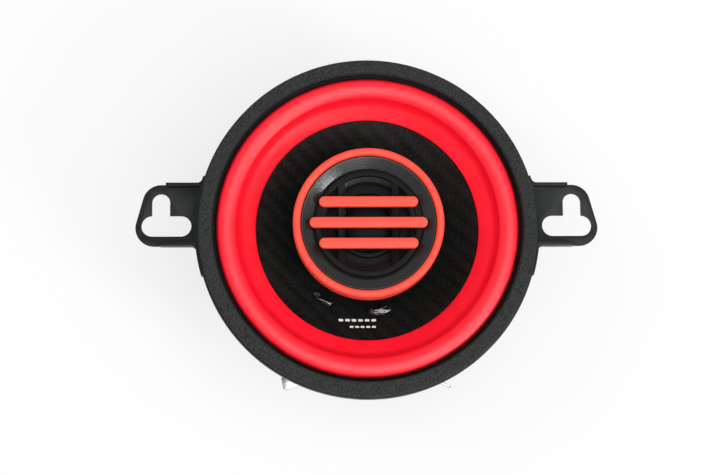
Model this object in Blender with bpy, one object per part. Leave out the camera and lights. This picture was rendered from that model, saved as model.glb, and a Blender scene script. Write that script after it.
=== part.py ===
"""A two-way coaxial car speaker: a small woofer with a tweeter on a post in front of its cone.

The speaker lies on the back of its motor with the cone facing +Z. The origin is the middle of
the flat back face, +X points at one mounting ear, and the terminals are on the -Y side.
"""

import math

import bmesh
import bpy
from mathutils import Matrix, Vector

MM = 0.001

# Gaps between separate pieces.
SEAT_GAP = 0.1 * MM
FIT_GAP = 0.15 * MM
WIRE_GAP = 0.3 * MM

# Motor, from the back face forwards.
BACK_PLATE_INSET = 1.5 * MM
BACK_PLATE_THICKNESS = 4.0 * MM
MAGNET_RADIUS = 30.0 * MM
MAGNET_BORE_MARGIN = 4.5 * MM
MAGNET_THICKNESS = 9.0 * MM
TOP_PLATE_INSET = 3.0 * MM
TOP_PLATE_THICKNESS = 3.6 * MM
MOTOR_CHAMFER = 0.6 * MM
POLE_RADIUS = 9.5 * MM
POLE_PROUD = 0.2 * MM

# Voice coil, from the pole outwards.
POLE_CLEARANCE = 0.35 * MM
FORMER_WALL = 0.2 * MM
WINDING_WALL = 0.45 * MM
WINDING_CLEARANCE = 0.4 * MM
WINDING_LENGTH = 6.5 * MM
FORMER_TAIL = 0.2 * MM

# Basket, pressed from one sheet.
SHEET = 0.9 * MM
BASKET_DEPTH = 28.1 * MM
BASKET_HOLE_MARGIN = 2.5 * MM
WALL_SLANT = 1.2 * MM
LEDGE_RISE = 10.1 * MM
LEDGE_INNER_RADIUS = 26.6 * MM
LEDGE_WIDTH = 4.6 * MM
RIM_RADIUS = 45.6 * MM
RIM_WIDTH = 5.0 * MM
RIM_STEP = 3.0 * MM
FLANGE_WIDTH = 2.6 * MM
CUTOUT_CLEARANCE = 0.3 * MM
SKIRT_LIFT = 0.3 * MM
WINDOW_COUNT = 6
WINDOW_WIDTH = 24.0 * MM
WINDOW_CORNER = 3.0 * MM
WINDOW_SILL = 1.6 * MM
WINDOW_HEAD = 1.6 * MM

# Mounting ears, given for the +X side; the other is its mirror image.
EAR_LENGTH = 16.3 * MM
EAR_TOP = 12.1 * MM
EAR_BOTTOM = -4.5 * MM
EAR_CORNER = 4.95 * MM
LIP_LENGTH = 9.4 * MM
LIP_OVERHANG = 0.2 * MM
LIP_BEND = 0.2 * MM
LIP_SETBACK = 0.3 * MM
LIP_FILLET = 1.4 * MM
COLLAR_PROUD = 0.4 * MM
COLLAR_LIFT = 0.1 * MM
COLLAR_UP = math.radians(18.0)
COLLAR_DOWN = math.radians(-16.0)
SLOT_LENGTH = 13.3 * MM
SLOT_WIDTH = 5.6 * MM
SLOT_Y = 0.95 * MM
SLOT_END_MARGIN = 1.6 * MM
KEY_WIDTH = 4.8 * MM
KEY_TOP = 9.7 * MM

# Front gasket and surround.
GASKET_INSET = 0.6 * MM
GASKET_WIDTH = 3.8 * MM
GASKET_THICKNESS = 3.0 * MM
GASKET_EDGE = 0.5 * MM
SURROUND_THICKNESS = 0.5 * MM
SURROUND_INSET = 0.4 * MM
ROLL_MARGIN = 0.8 * MM
ROLL_WIDTH = 6.2 * MM
ROLL_HEIGHT = 2.4 * MM
SURROUND_LAP = 4.4 * MM

# Cone and spider.
CONE_THICKNESS = 0.5 * MM
CONE_SETBACK = 0.9 * MM
CONE_BOW = 0.5 * MM
NECK_RISE = 2.8 * MM
NECK_COLLAR = 0.5 * MM
SPIDER_THICKNESS = 0.4 * MM
SPIDER_MARGIN = 0.6 * MM
SPIDER_WAVES = 4
SPIDER_WAVE_HEIGHT = 0.7 * MM
SPIDER_INNER_LAND = 1.6 * MM
SPIDER_OUTER_LAND = 1.4 * MM

# Tweeter post and its fixing.
POST_RADIUS = 4.5 * MM
POST_SETBACK = 7.0 * MM
SPIGOT_RADIUS = 3.0 * MM
SCREW_RADIUS = 1.5 * MM
SCREW_GRIP = 7.0 * MM
SCREW_HEAD_RADIUS = 3.0 * MM
SCREW_HEAD_HEIGHT = 2.0 * MM
SCREW_RECESS_WIDTH = 0.8 * MM
SCREW_RECESS_DEPTH = 1.2 * MM
WASHER_RADIUS = 4.0 * MM
WASHER_THICKNESS = 0.6 * MM
HEAD_SETBACK = 0.4 * MM

# Tweeter.
HOUSING_RADIUS = 14.5 * MM
HOUSING_WALL = 1.1 * MM
HOUSING_FLOOR = 1.2 * MM
HOUSING_FLANGE = 1.1 * MM
HOUSING_CHAMFER = 1.0 * MM
CUP_CLEARANCE = 0.6 * MM
CUP_WALL = 2.0 * MM
CUP_FLOOR = 1.5 * MM
TWEETER_MAGNET_RADIUS = 6.0 * MM
TWEETER_MAGNET_HEIGHT = 3.0 * MM
POLE_WASHER_RADIUS = 6.2 * MM
POLE_WASHER_HEIGHT = 1.8 * MM
TWEETER_POLE_CLEARANCE = 0.25 * MM
TWEETER_WINDING_LENGTH = 2.2 * MM
DIAPHRAGM_RING_HEIGHT = 1.4 * MM
DIAPHRAGM_THICKNESS = 0.2 * MM
DOME_HEIGHT = 1.9 * MM
DOME_ROLL_WIDTH = 1.9 * MM
DOME_ROLL_HEIGHT = 0.7 * MM
DOME_FLANGE = 1.6 * MM
THROAT_MARGIN = 0.8 * MM
THROAT_DEPTH = 1.7 * MM
DISH_DEPTH = 3.6 * MM
FACEPLATE_WALL = 1.0 * MM
BEZEL_RADIUS = 19.87 * MM
BEZEL_WIDTH = 2.0 * MM
BEZEL_SKIRT = 1.1 * MM
BEZEL_SKIRT_WALL = 0.72 * MM
BEZEL_PROUD = 1.0 * MM
BEZEL_ROUND = 0.9 * MM
CAPACITOR_SIZE = (6.0 * MM, 2.4 * MM, 5.5 * MM)

# Guard in front of the dome.
GUARD_RING_RADIUS = 14.2 * MM
GUARD_RING_WIDTH = 1.6 * MM
GUARD_SETBACK = 1.0 * MM
GUARD_RIB_X = 7.0 * MM
GUARD_RIB_WIDTH = 1.8 * MM
GUARD_RIB_HEIGHT = 1.0 * MM
BAR_WIDTH = 2.8 * MM
BAR_PITCH = 5.5 * MM
BAR_THICKNESS = 1.8 * MM
BAR_END_GAPS = {"upper": 3.09 * MM, "middle": 0.59 * MM, "lower": 3.09 * MM}

# Terminals and wiring on the -Y side; angles are measured from +X.
TERMINAL_SIDE = math.radians(270.0)
BOARD_SETBACK = 1.3 * MM
BOARD_WIDTH = 8.7 * MM
BOARD_HALF_ANGLE = math.radians(38.0)
BOARD_THICKNESS = 1.1 * MM
BOARD_RIVET_OFFSET = math.radians(8.0)
POSITIVE_OFFSET = math.radians(-28.0)
NEGATIVE_OFFSET = math.radians(22.0)
NEGATIVE_TIP_OFFSET = math.radians(29.0)
TERMINAL_PROUD = 1.5 * MM
TERMINAL_RIVET_MARGIN = 2.0 * MM
POSITIVE_BLADE = (4.75 * MM, 0.8 * MM)
NEGATIVE_BLADE = (2.8 * MM, 0.5 * MM)
NEGATIVE_BLADE_ANGLE = math.radians(-25.7)
NEGATIVE_BLADE_LENGTH = 9.8 * MM
NEGATIVE_BASE_SETBACK = 4.4 * MM
BLADE_POINT = 2.2 * MM
TERMINAL_BASE_WIDTH = 4.4 * MM
DAB_RADIUS = 21.4 * MM
DAB_ANGLES = {"left": math.radians(237.5), "right": math.radians(279.0)}
DAB_SIZE = (3.2 * MM, 1.9 * MM, 1.1 * MM)
TINSEL_RADIUS = 0.45 * MM
COIL_LEAD_RADIUS = 0.15 * MM
TWEETER_LEAD_RADIUS = 0.3 * MM
TINSEL_OFFSET = math.radians(19.0)
TINSEL_FOOT_MARGIN = 1.0 * MM
TINSEL_RISE = 3.0 * MM
COIL_LEAD_MARGIN = 2.0 * MM
TWEETER_LEAD_BULGE = 2.2 * MM
TWEETER_LEAD_TURN = math.radians(9.0)
LEAD_SAG = 1.0 * MM
LEAD_HOLE_RADIUS = 0.8 * MM
LEAD_HOLE_RISE = 2.5 * MM
LEAD_HOLE_SPREAD = math.radians(12.0)

# Rivets of the motor.
RIVET_COUNT = 4
RIVET_CIRCLE = 18.5 * MM
RIVET_RADIUS = 1.2 * MM
RIVET_HEAD_RADIUS = 1.9 * MM
RIVET_HEAD_HEIGHT = 0.8 * MM
SMALL_RIVET_RADIUS = 0.9 * MM
SMALL_RIVET_HEAD_RADIUS = 1.4 * MM
SMALL_RIVET_HEAD_HEIGHT = 0.6 * MM

# Roundness of the turned pieces, in flats per turn, and of the cone's bow.
LARGE_STEPS = 48
MEDIUM_STEPS = 30
SMALL_STEPS = 16
TINY_STEPS = 8
CONE_BANDS = 4

# Heights that follow from the stack of the motor.
MAGNET_Z = BACK_PLATE_THICKNESS + SEAT_GAP
TOP_PLATE_Z = MAGNET_Z + MAGNET_THICKNESS + SEAT_GAP
TOP_PLATE_TOP = TOP_PLATE_Z + TOP_PLATE_THICKNESS
POLE_TOP = TOP_PLATE_TOP + POLE_PROUD
BASKET_Z = TOP_PLATE_TOP + SEAT_GAP
FLOOR_Z = BASKET_Z + SHEET
LEDGE_Z = BASKET_Z + LEDGE_RISE
RIM_Z = BASKET_Z + BASKET_DEPTH
EAR_Z = RIM_Z - RIM_STEP
PANEL_Z = EAR_Z - SHEET
BOARD_TOP = LEDGE_Z - SHEET - SEAT_GAP
BOARD_Z = BOARD_TOP - BOARD_THICKNESS
BLADE_Z = BOARD_TOP + SEAT_GAP

# Radii that follow from the voice coil.
FORMER_INNER = POLE_RADIUS + POLE_CLEARANCE
FORMER_OUTER = FORMER_INNER + FORMER_WALL
WINDING_INNER = FORMER_OUTER + SEAT_GAP
WINDING_OUTER = WINDING_INNER + WINDING_WALL
TOP_PLATE_BORE = WINDING_OUTER + WINDING_CLEARANCE
NECK_RADIUS = FORMER_OUTER + FIT_GAP
WINDING_Z = TOP_PLATE_Z + TOP_PLATE_THICKNESS / 2 - WINDING_LENGTH / 2

# Motor and basket.
BACK_PLATE_RADIUS = MAGNET_RADIUS - BACK_PLATE_INSET
TOP_PLATE_RADIUS = MAGNET_RADIUS - TOP_PLATE_INSET
MAGNET_BORE_RADIUS = TOP_PLATE_BORE + MAGNET_BORE_MARGIN
BASKET_HOLE_RADIUS = TOP_PLATE_BORE + BASKET_HOLE_MARGIN
FLOOR_RADIUS = LEDGE_INNER_RADIUS - WALL_SLANT
LEDGE_RADIUS = LEDGE_INNER_RADIUS + LEDGE_WIDTH
RIM_INNER = RIM_RADIUS - RIM_WIDTH
CUTOUT_RADIUS = RIM_INNER - FLANGE_WIDTH
LEG_TOP_RADIUS = CUTOUT_RADIUS - SHEET - CUTOUT_CLEARANCE
SKIRT_ROOT = RIM_RADIUS - SHEET / 2
EAR_REACH = RIM_RADIUS + EAR_LENGTH
KEY_X = EAR_REACH - SLOT_END_MARGIN - SLOT_WIDTH / 2 - KEY_WIDTH / 2

# Cone, surround and spider.
GASKET_RADIUS = RIM_RADIUS - GASKET_INSET
GASKET_INNER = GASKET_RADIUS - GASKET_WIDTH
ROLL_OUTER = GASKET_INNER - ROLL_MARGIN
ROLL_INNER = ROLL_OUTER - ROLL_WIDTH
SURROUND_TOP = RIM_Z + SEAT_GAP + SURROUND_THICKNESS
GASKET_Z = SURROUND_TOP + SEAT_GAP
CONE_RADIUS = ROLL_INNER - SEAT_GAP
LAP_RADIUS = ROLL_INNER - SURROUND_LAP
CONE_EDGE_Z = RIM_Z - CONE_SETBACK
SPIDER_Z = LEDGE_Z + SEAT_GAP + SPIDER_THICKNESS
NECK_Z = SPIDER_Z + NECK_RISE
FORMER_TOP = NECK_Z + NECK_COLLAR
SPIDER_RADIUS = LEDGE_RADIUS - SPIDER_MARGIN

# Tweeter stack.
POST_Z = POLE_TOP + SEAT_GAP
POST_TOP = RIM_Z - POST_SETBACK
HOUSING_Z = POST_TOP + SEAT_GAP
LEAD_HOLE_Z = HOUSING_Z + HOUSING_FLOOR + LEAD_HOLE_RISE
CUP_Z = HOUSING_Z + HOUSING_FLOOR + SEAT_GAP
TWEETER_MAGNET_Z = CUP_Z + CUP_FLOOR + SEAT_GAP
POLE_WASHER_Z = TWEETER_MAGNET_Z + TWEETER_MAGNET_HEIGHT + SEAT_GAP
CUP_TOP = POLE_WASHER_Z + POLE_WASHER_HEIGHT
DIAPHRAGM_RING_Z = CUP_TOP + SEAT_GAP
DIAPHRAGM_Z = DIAPHRAGM_RING_Z + DIAPHRAGM_RING_HEIGHT + SEAT_GAP
HOUSING_INNER = HOUSING_RADIUS - HOUSING_WALL
HOUSING_TOP = DIAPHRAGM_Z + THROAT_DEPTH - SEAT_GAP * 2
HOUSING_FLANGE_RADIUS = BEZEL_RADIUS - BEZEL_SKIRT_WALL - FIT_GAP
BEZEL_INNER = BEZEL_RADIUS - BEZEL_WIDTH
FACEPLATE_RADIUS = BEZEL_INNER - FIT_GAP
DISH_LOW_Z = DIAPHRAGM_Z + DIAPHRAGM_THICKNESS + FIT_GAP + THROAT_DEPTH
DISH_HIGH_Z = DISH_LOW_Z + DISH_DEPTH
BEZEL_TOP = DISH_HIGH_Z + BEZEL_PROUD
TWEETER_FORMER_INNER = POLE_WASHER_RADIUS + TWEETER_POLE_CLEARANCE
TWEETER_FORMER_OUTER = TWEETER_FORMER_INNER + FORMER_WALL
DOME_RADIUS = TWEETER_FORMER_OUTER + SEAT_GAP
DOME_ROLL_INNER = DOME_RADIUS + FIT_GAP
DOME_ROLL_OUTER = DOME_ROLL_INNER + DOME_ROLL_WIDTH
THROAT_RADIUS = DOME_ROLL_OUTER + DOME_FLANGE + THROAT_MARGIN
TWEETER_WINDING_INNER = TWEETER_FORMER_OUTER + SEAT_GAP
TWEETER_WINDING_OUTER = TWEETER_WINDING_INNER + WINDING_WALL
CUP_INNER = TWEETER_WINDING_OUTER + CUP_CLEARANCE
CUP_RADIUS = CUP_INNER + CUP_WALL

# Terminals.
BOARD_INNER_RADIUS = LEDGE_INNER_RADIUS + BOARD_SETBACK
BOARD_OUTER_RADIUS = BOARD_INNER_RADIUS + BOARD_WIDTH
TERMINAL_REACH = RIM_RADIUS + TERMINAL_PROUD
TERMINAL_ROOT = LEDGE_RADIUS + SHEET + 4 * WIRE_GAP
TERMINAL_RIVET_CIRCLE = TERMINAL_ROOT + TERMINAL_RIVET_MARGIN
NEGATIVE_FOLD = TERMINAL_REACH - NEGATIVE_BASE_SETBACK
TINSEL_FOOT_RADIUS = TERMINAL_ROOT + TINSEL_FOOT_MARGIN


def clear_scene():
    for obj in list(bpy.data.objects):
        bpy.data.objects.remove(obj, do_unlink=True)


def paint(name, colour, roughness, metallic=0.0):
    """A Principled material with one colour."""
    material = bpy.data.materials.new(name)
    material.use_nodes = True
    shader = material.node_tree.nodes["Principled BSDF"]
    shader.inputs["Base Color"].default_value = (*colour, 1.0)
    shader.inputs["Roughness"].default_value = roughness
    shader.inputs["Metallic"].default_value = metallic
    return material


def axis_empty(name, height):
    """An empty on the speaker's axis that carries the pieces of one body."""
    empty = bpy.data.objects.new(name, None)
    empty.location = (0.0, 0.0, height)
    empty.empty_display_size = 5 * MM
    bpy.context.scene.collection.objects.link(empty)
    return empty


def add_object(name, data, material, body, place):
    obj = bpy.data.objects.new(name, data)
    data.materials.append(material)
    bpy.context.scene.collection.objects.link(obj)
    obj.parent = body
    obj.matrix_parent_inverse = Matrix.Translation(-body.location)
    obj.matrix_basis = place
    return obj


def add_mesh(name, bm, material, body, place=None):
    """Turns a closed bmesh into a named object whose faces point out."""
    bmesh.ops.recalc_face_normals(bm, faces=bm.faces[:])
    mesh = bpy.data.meshes.new(name)
    bm.to_mesh(mesh)
    bm.free()
    mesh.shade_smooth()
    mesh.set_sharp_from_angle(angle=math.radians(35.0))
    return add_object(name, mesh, material, body, place or Matrix.Identity(4))


def add_cutter(name, bm, body):
    """A closed mesh that only cuts or adds to another piece."""
    cutter = add_mesh(name, bm, STEEL, body)
    cutter.hide_render = True
    cutter.display_type = "WIRE"
    return cutter


def combine(obj, other, operation):
    modifier = obj.modifiers.new(f"{operation.title()} {other.name}", "BOOLEAN")
    modifier.operation = operation
    modifier.object = other
    modifier.solver = "EXACT"


def arc(centre, radii, start, end, count):
    """Points along an elliptical arc, both ends included."""
    points = []
    for i in range(count + 1):
        angle = start + (end - start) * i / count
        points.append((centre[0] + radii[0] * math.cos(angle), centre[1] + radii[1] * math.sin(angle)))
    return points


def polar(radius, angle, height=0.0):
    return Vector((radius * math.cos(angle), radius * math.sin(angle), height))


def ring_profile(inner, outer, bottom, top, chamfer=0.0):
    """Outline of a ring or, with no inner radius, of a disc; its outer edges may be chamfered."""
    if chamfer == 0.0:
        return [(inner, top), (outer, top), (outer, bottom), (inner, bottom)]
    upper = [(inner, top), (outer - chamfer, top), (outer, top - chamfer)]
    return upper + [(outer, bottom + chamfer), (outer - chamfer, bottom), (inner, bottom)]


def sheet_profile(face, thickness):
    """Outline of sheet material from its front face, given from the middle outwards."""
    points = [Vector(point) for point in face]
    back = []
    for i, point in enumerate(points):
        before = points[i] - points[i - 1] if i else points[1] - points[0]
        after = points[i + 1] - points[i] if i + 1 < len(points) else before
        before.normalize()
        after.normalize()
        behind = Vector((before.y, -before.x))
        mitre = (behind + Vector((after.y, -after.x))).normalized()
        back.append(point + mitre * thickness / mitre.dot(behind))
    return [tuple(point) for point in points + back[::-1]]


def spin_outline(bm, profile, steps):
    """Adds the solid that a closed outline of (radius, height) points makes when it turns."""
    ring = [bm.verts.new((radius, 0.0, height)) for radius, height in profile]
    edges = []
    for i, vert in enumerate(ring):
        on_axis = profile[i - 1][0] == 0.0 and profile[i][0] == 0.0
        if not on_axis:
            edges.append(bm.edges.new((ring[i - 1], vert)))
    bmesh.ops.spin(
        bm,
        geom=ring + edges,
        cent=(0.0, 0.0, 0.0),
        axis=(0.0, 0.0, 1.0),
        angle=2 * math.pi,
        steps=steps,
        use_merge=True,
    )
    bmesh.ops.remove_doubles(bm, verts=bm.verts[:], dist=0.001 * MM)


def add_drill(bm, radius, bottom, top, places):
    """Adds a straight drill at each place, its flats set square to the line from the axis."""
    for place in places:
        start = math.atan2(place.y, place.x) + math.pi / TINY_STEPS
        turn = 2 * math.pi / TINY_STEPS
        outline = [tuple((place + polar(radius, start + turn * i)).xy) for i in range(TINY_STEPS)]
        extrude_outline(bm, outline, bottom, top)


def turned(name, profile, material, body, steps, place=None):
    bm = bmesh.new()
    spin_outline(bm, profile, steps)
    return add_mesh(name, bm, material, body, place)


def extrude_outline(bm, outline, bottom, top, move=None):
    """Adds a prism on a closed plan outline, moved by a matrix where one is given."""
    move = move or Matrix.Identity(4)
    face = bm.faces.new([bm.verts.new(move @ Vector((x, y, bottom))) for x, y in outline])
    made = bmesh.ops.extrude_face_region(bm, geom=[face])
    raised = [item for item in made["geom"] if isinstance(item, bmesh.types.BMVert)]
    lift = move.to_3x3() @ Vector((0.0, 0.0, top - bottom))
    bmesh.ops.translate(bm, verts=raised, vec=lift)


def plate(name, outline, bottom, top, material, body):
    bm = bmesh.new()
    extrude_outline(bm, outline, bottom, top)
    return add_mesh(name, bm, material, body)


def rounded_rectangle(width, height, corner, count=3):
    """Plan outline of a rectangle about the origin with round corners."""
    outline = []
    quarter = math.pi / 2
    for i, (x_side, y_side) in enumerate(((1, 1), (-1, 1), (-1, -1), (1, -1))):
        centre = (x_side * (width / 2 - corner), y_side * (height / 2 - corner))
        outline += arc(centre, (corner, corner), i * quarter, (i + 1) * quarter, count)
    return outline


def smooth_path(points, per_span=4):
    """A Catmull-Rom curve through the given points."""
    knots = [2 * points[0] - points[1], *points, 2 * points[-1] - points[-2]]
    path = []
    for i in range(1, len(knots) - 2):
        before, start, end, after = knots[i - 1 : i + 3]
        for step in range(per_span):
            t = step / per_span
            bend = start * 2 + (end - before) * t
            bend += (before * 2 - start * 5 + end * 4 - after) * t**2
            bend += (start * 3 - before - end * 3 + after) * t**3
            path.append(bend / 2)
    return [*path, points[-1]]


def wire(name, points, radius, material, body):
    """A round wire along a smooth path, closed at both ends."""
    curve = bpy.data.curves.new(name, "CURVE")
    curve.dimensions = "3D"
    curve.bevel_depth = radius
    curve.bevel_resolution = 1
    curve.use_fill_caps = True
    path = smooth_path(points)
    spline = curve.splines.new("POLY")
    spline.points.add(len(path) - 1)
    for point, place in zip(spline.points, path):
        point.co = (*place, 1.0)
    return add_object(name, curve, material, body, Matrix.Identity(4))


def cone_points():
    """(radius, height) points along the cone's front face, which bows below a straight line."""
    radii = [NECK_RADIUS + (LAP_RADIUS - NECK_RADIUS) * i / CONE_BANDS for i in range(CONE_BANDS)]
    points = []
    for radius in [*radii, LAP_RADIUS, CONE_RADIUS]:
        share = (radius - NECK_RADIUS) / (CONE_RADIUS - NECK_RADIUS)
        straight = NECK_Z + (CONE_EDGE_Z - NECK_Z) * share
        points.append((radius, straight - CONE_BOW * 4 * share * (1 - share)))
    return points


def cone_band(radius):
    """Both ends of the flat band of the cone's front face at this radius."""
    points = cone_points()
    for start, end in zip(points, points[1:]):
        if radius < end[0]:
            break
    return start, end


def cone_slope(radius):
    start, end = cone_band(radius)
    return math.atan2(end[1] - start[1], end[0] - start[0])


def cone_front(radius):
    start = cone_band(radius)[0]
    return start[1] + (radius - start[0]) * math.tan(cone_slope(radius))


def above_cone(radius, lift):
    """(radius, height) of the point at a distance in front of the cone's front face."""
    slope = cone_slope(radius)
    return radius - lift * math.sin(slope), cone_front(radius) + lift * math.cos(slope)


def dish_front(radius):
    """Height of the tweeter faceplate's front face."""
    return DISH_LOW_Z + DISH_DEPTH * (radius - THROAT_RADIUS) / (FACEPLATE_RADIUS - THROAT_RADIUS)


def dish_radius(height):
    """Radius at which the tweeter faceplate's front face has this height."""
    return THROAT_RADIUS + (FACEPLATE_RADIUS - THROAT_RADIUS) * (height - DISH_LOW_Z) / DISH_DEPTH


def leg_radius(height):
    """Radius of the basket's legs, on the side of the cone, at this height."""
    return LEDGE_RADIUS + (LEG_TOP_RADIUS - LEDGE_RADIUS) * (height - LEDGE_Z) / (EAR_Z - LEDGE_Z)


def rivet_places():
    turn = 2 * math.pi / RIVET_COUNT
    return [polar(RIVET_CIRCLE, turn * (i + 0.5)) for i in range(RIVET_COUNT)]


def board_rivet_places():
    radius = LEDGE_INNER_RADIUS + LEDGE_WIDTH / 2 + SHEET / 2
    return [polar(radius, TERMINAL_SIDE + side * BOARD_RIVET_OFFSET) for side in (-1, 1)]


def ear_plate_outline():
    """Plan of the +X ear: a rounded corner at the top, a slanted edge and a wide lower corner."""
    upper = Vector((KEY_X, EAR_TOP - EAR_CORNER))
    lower = Vector((EAR_REACH - EAR_CORNER, EAR_BOTTOM + EAR_CORNER))
    slant = lower - upper
    outward = math.atan2(slant.x, -slant.y)
    start = math.asin(EAR_BOTTOM / SKIRT_ROOT)
    end = math.asin(EAR_TOP / SKIRT_ROOT)
    outline = arc((0.0, 0.0), (SKIRT_ROOT, SKIRT_ROOT), end, start, 8)
    outline += arc(lower, (EAR_CORNER, EAR_CORNER), -math.pi / 2, outward, 6)
    outline += arc(upper, (EAR_CORNER, EAR_CORNER), outward, math.pi / 2, 6)
    return outline


def ear_slot_outline():
    """Plan of the T-shaped screw slot in the +X ear."""
    end_radius = SLOT_WIDTH / 2
    outer = (EAR_REACH - SLOT_END_MARGIN - end_radius, SLOT_Y)
    inner = (outer[0] - SLOT_LENGTH + SLOT_WIDTH, SLOT_Y)
    key_radius = KEY_WIDTH / 2
    key = (outer[0] - key_radius, KEY_TOP - key_radius)
    outline = arc(outer, (end_radius, end_radius), -math.pi / 2, math.pi / 2, 8)
    outline += arc(key, (key_radius, key_radius), 0.0, math.pi, 8)
    outline.append((key[0] - key_radius, SLOT_Y + end_radius))
    outline += arc(inner, (end_radius, end_radius), math.pi / 2, 3 * math.pi / 2, 8)
    return outline


def lip_outline(edge, side):
    """Plan of the turned-up lip on one edge of the +X ear; side is +1 for the upper edge."""
    face = edge * side + LIP_OVERHANG
    collar = RIM_RADIUS + COLLAR_PROUD
    middle = math.sqrt((collar + LIP_FILLET) ** 2 - (face + LIP_FILLET) ** 2)
    touch = math.atan2(face + LIP_FILLET, middle)
    centre = (middle, face + LIP_FILLET)
    tip = math.sqrt(collar**2 - face**2) + LIP_LENGTH
    inner_face = face - SHEET
    outline = [(tip, inner_face), (tip, face)]
    outline += arc(centre, (LIP_FILLET, LIP_FILLET), -math.pi / 2, touch - math.pi, 5)
    outline.append(tuple(polar(SKIRT_ROOT, touch).xy))
    outline.append((math.sqrt(SKIRT_ROOT**2 - inner_face**2), inner_face))
    return [(x, y * side) for x, y in outline]


def collar_outline():
    """Plan of the thicker root that joins the +X ear to the rim."""
    collar = RIM_RADIUS + COLLAR_PROUD
    outline = arc((0.0, 0.0), (collar, collar), COLLAR_DOWN, COLLAR_UP, 7)
    outline += arc((0.0, 0.0), (SKIRT_ROOT, SKIRT_ROOT), COLLAR_UP, COLLAR_DOWN, 7)
    return outline


def both_sides(bm, outline, bottom, top):
    """Extrudes an outline given for the +X side, and its mirror image on the -X side."""
    extrude_outline(bm, outline, bottom, top)
    extrude_outline(bm, [(-x, y) for x, y in outline[::-1]], bottom, top)


def basket_face():
    """Front face of the pressed basket, from its centre hole out to the skirt's edge."""
    return [
        (BASKET_HOLE_RADIUS, FLOOR_Z),
        (FLOOR_RADIUS, FLOOR_Z),
        (LEDGE_INNER_RADIUS, LEDGE_Z),
        (LEDGE_RADIUS, LEDGE_Z),
        (LEG_TOP_RADIUS, EAR_Z),
        (RIM_INNER, EAR_Z),
        (RIM_INNER, RIM_Z),
        (RIM_RADIUS, RIM_Z),
        (RIM_RADIUS, PANEL_Z + SKIRT_LIFT),
    ]


def add_windows(bm):
    """Cutters for the windows between the legs, each punched straight outwards."""
    bottom = LEDGE_Z + WINDOW_SILL
    top = PANEL_Z - WINDOW_HEAD
    outline = rounded_rectangle(WINDOW_WIDTH, top - bottom, WINDOW_CORNER)
    stand_up = Matrix.Rotation(math.pi / 2, 4, "Z") @ Matrix.Rotation(math.pi / 2, 4, "X")
    for i in range(WINDOW_COUNT):
        turn = Matrix.Rotation(2 * math.pi * i / WINDOW_COUNT, 4, "Z")
        lift = Matrix.Translation((0.0, 0.0, (bottom + top) / 2))
        extrude_outline(bm, outline, LEDGE_RADIUS - SHEET, RIM_INNER, turn @ lift @ stand_up)


def make_basket(body):
    plates = bmesh.new()
    both_sides(plates, ear_plate_outline(), PANEL_Z, EAR_Z)
    collars = bmesh.new()
    both_sides(collars, collar_outline(), PANEL_Z + COLLAR_LIFT, RIM_Z - LIP_SETBACK - COLLAR_LIFT)
    lips = bmesh.new()
    for edge, side in ((EAR_TOP, 1), (EAR_BOTTOM, -1)):
        both_sides(lips, lip_outline(edge, side), PANEL_Z + LIP_BEND, RIM_Z - LIP_SETBACK)
    holes = bmesh.new()
    both_sides(holes, ear_slot_outline(), PANEL_Z - SHEET, EAR_Z + SHEET)
    add_windows(holes)
    add_drill(holes, RIVET_RADIUS + FIT_GAP, BASKET_Z - SHEET, FLOOR_Z + SHEET, rivet_places())
    small = SMALL_RIVET_RADIUS + FIT_GAP
    add_drill(holes, small, LEDGE_Z - 2 * SHEET, LEDGE_Z + SHEET, board_rivet_places())
    basket = turned("basket", sheet_profile(basket_face(), SHEET), BLACK_STEEL, body, LARGE_STEPS)
    combine(basket, add_cutter("ear_plates", plates, body), "UNION")
    combine(basket, add_cutter("ear_collars", collars, body), "UNION")
    combine(basket, add_cutter("ear_lips", lips, body), "UNION")
    combine(basket, add_cutter("basket_holes", holes, body), "DIFFERENCE")


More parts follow.
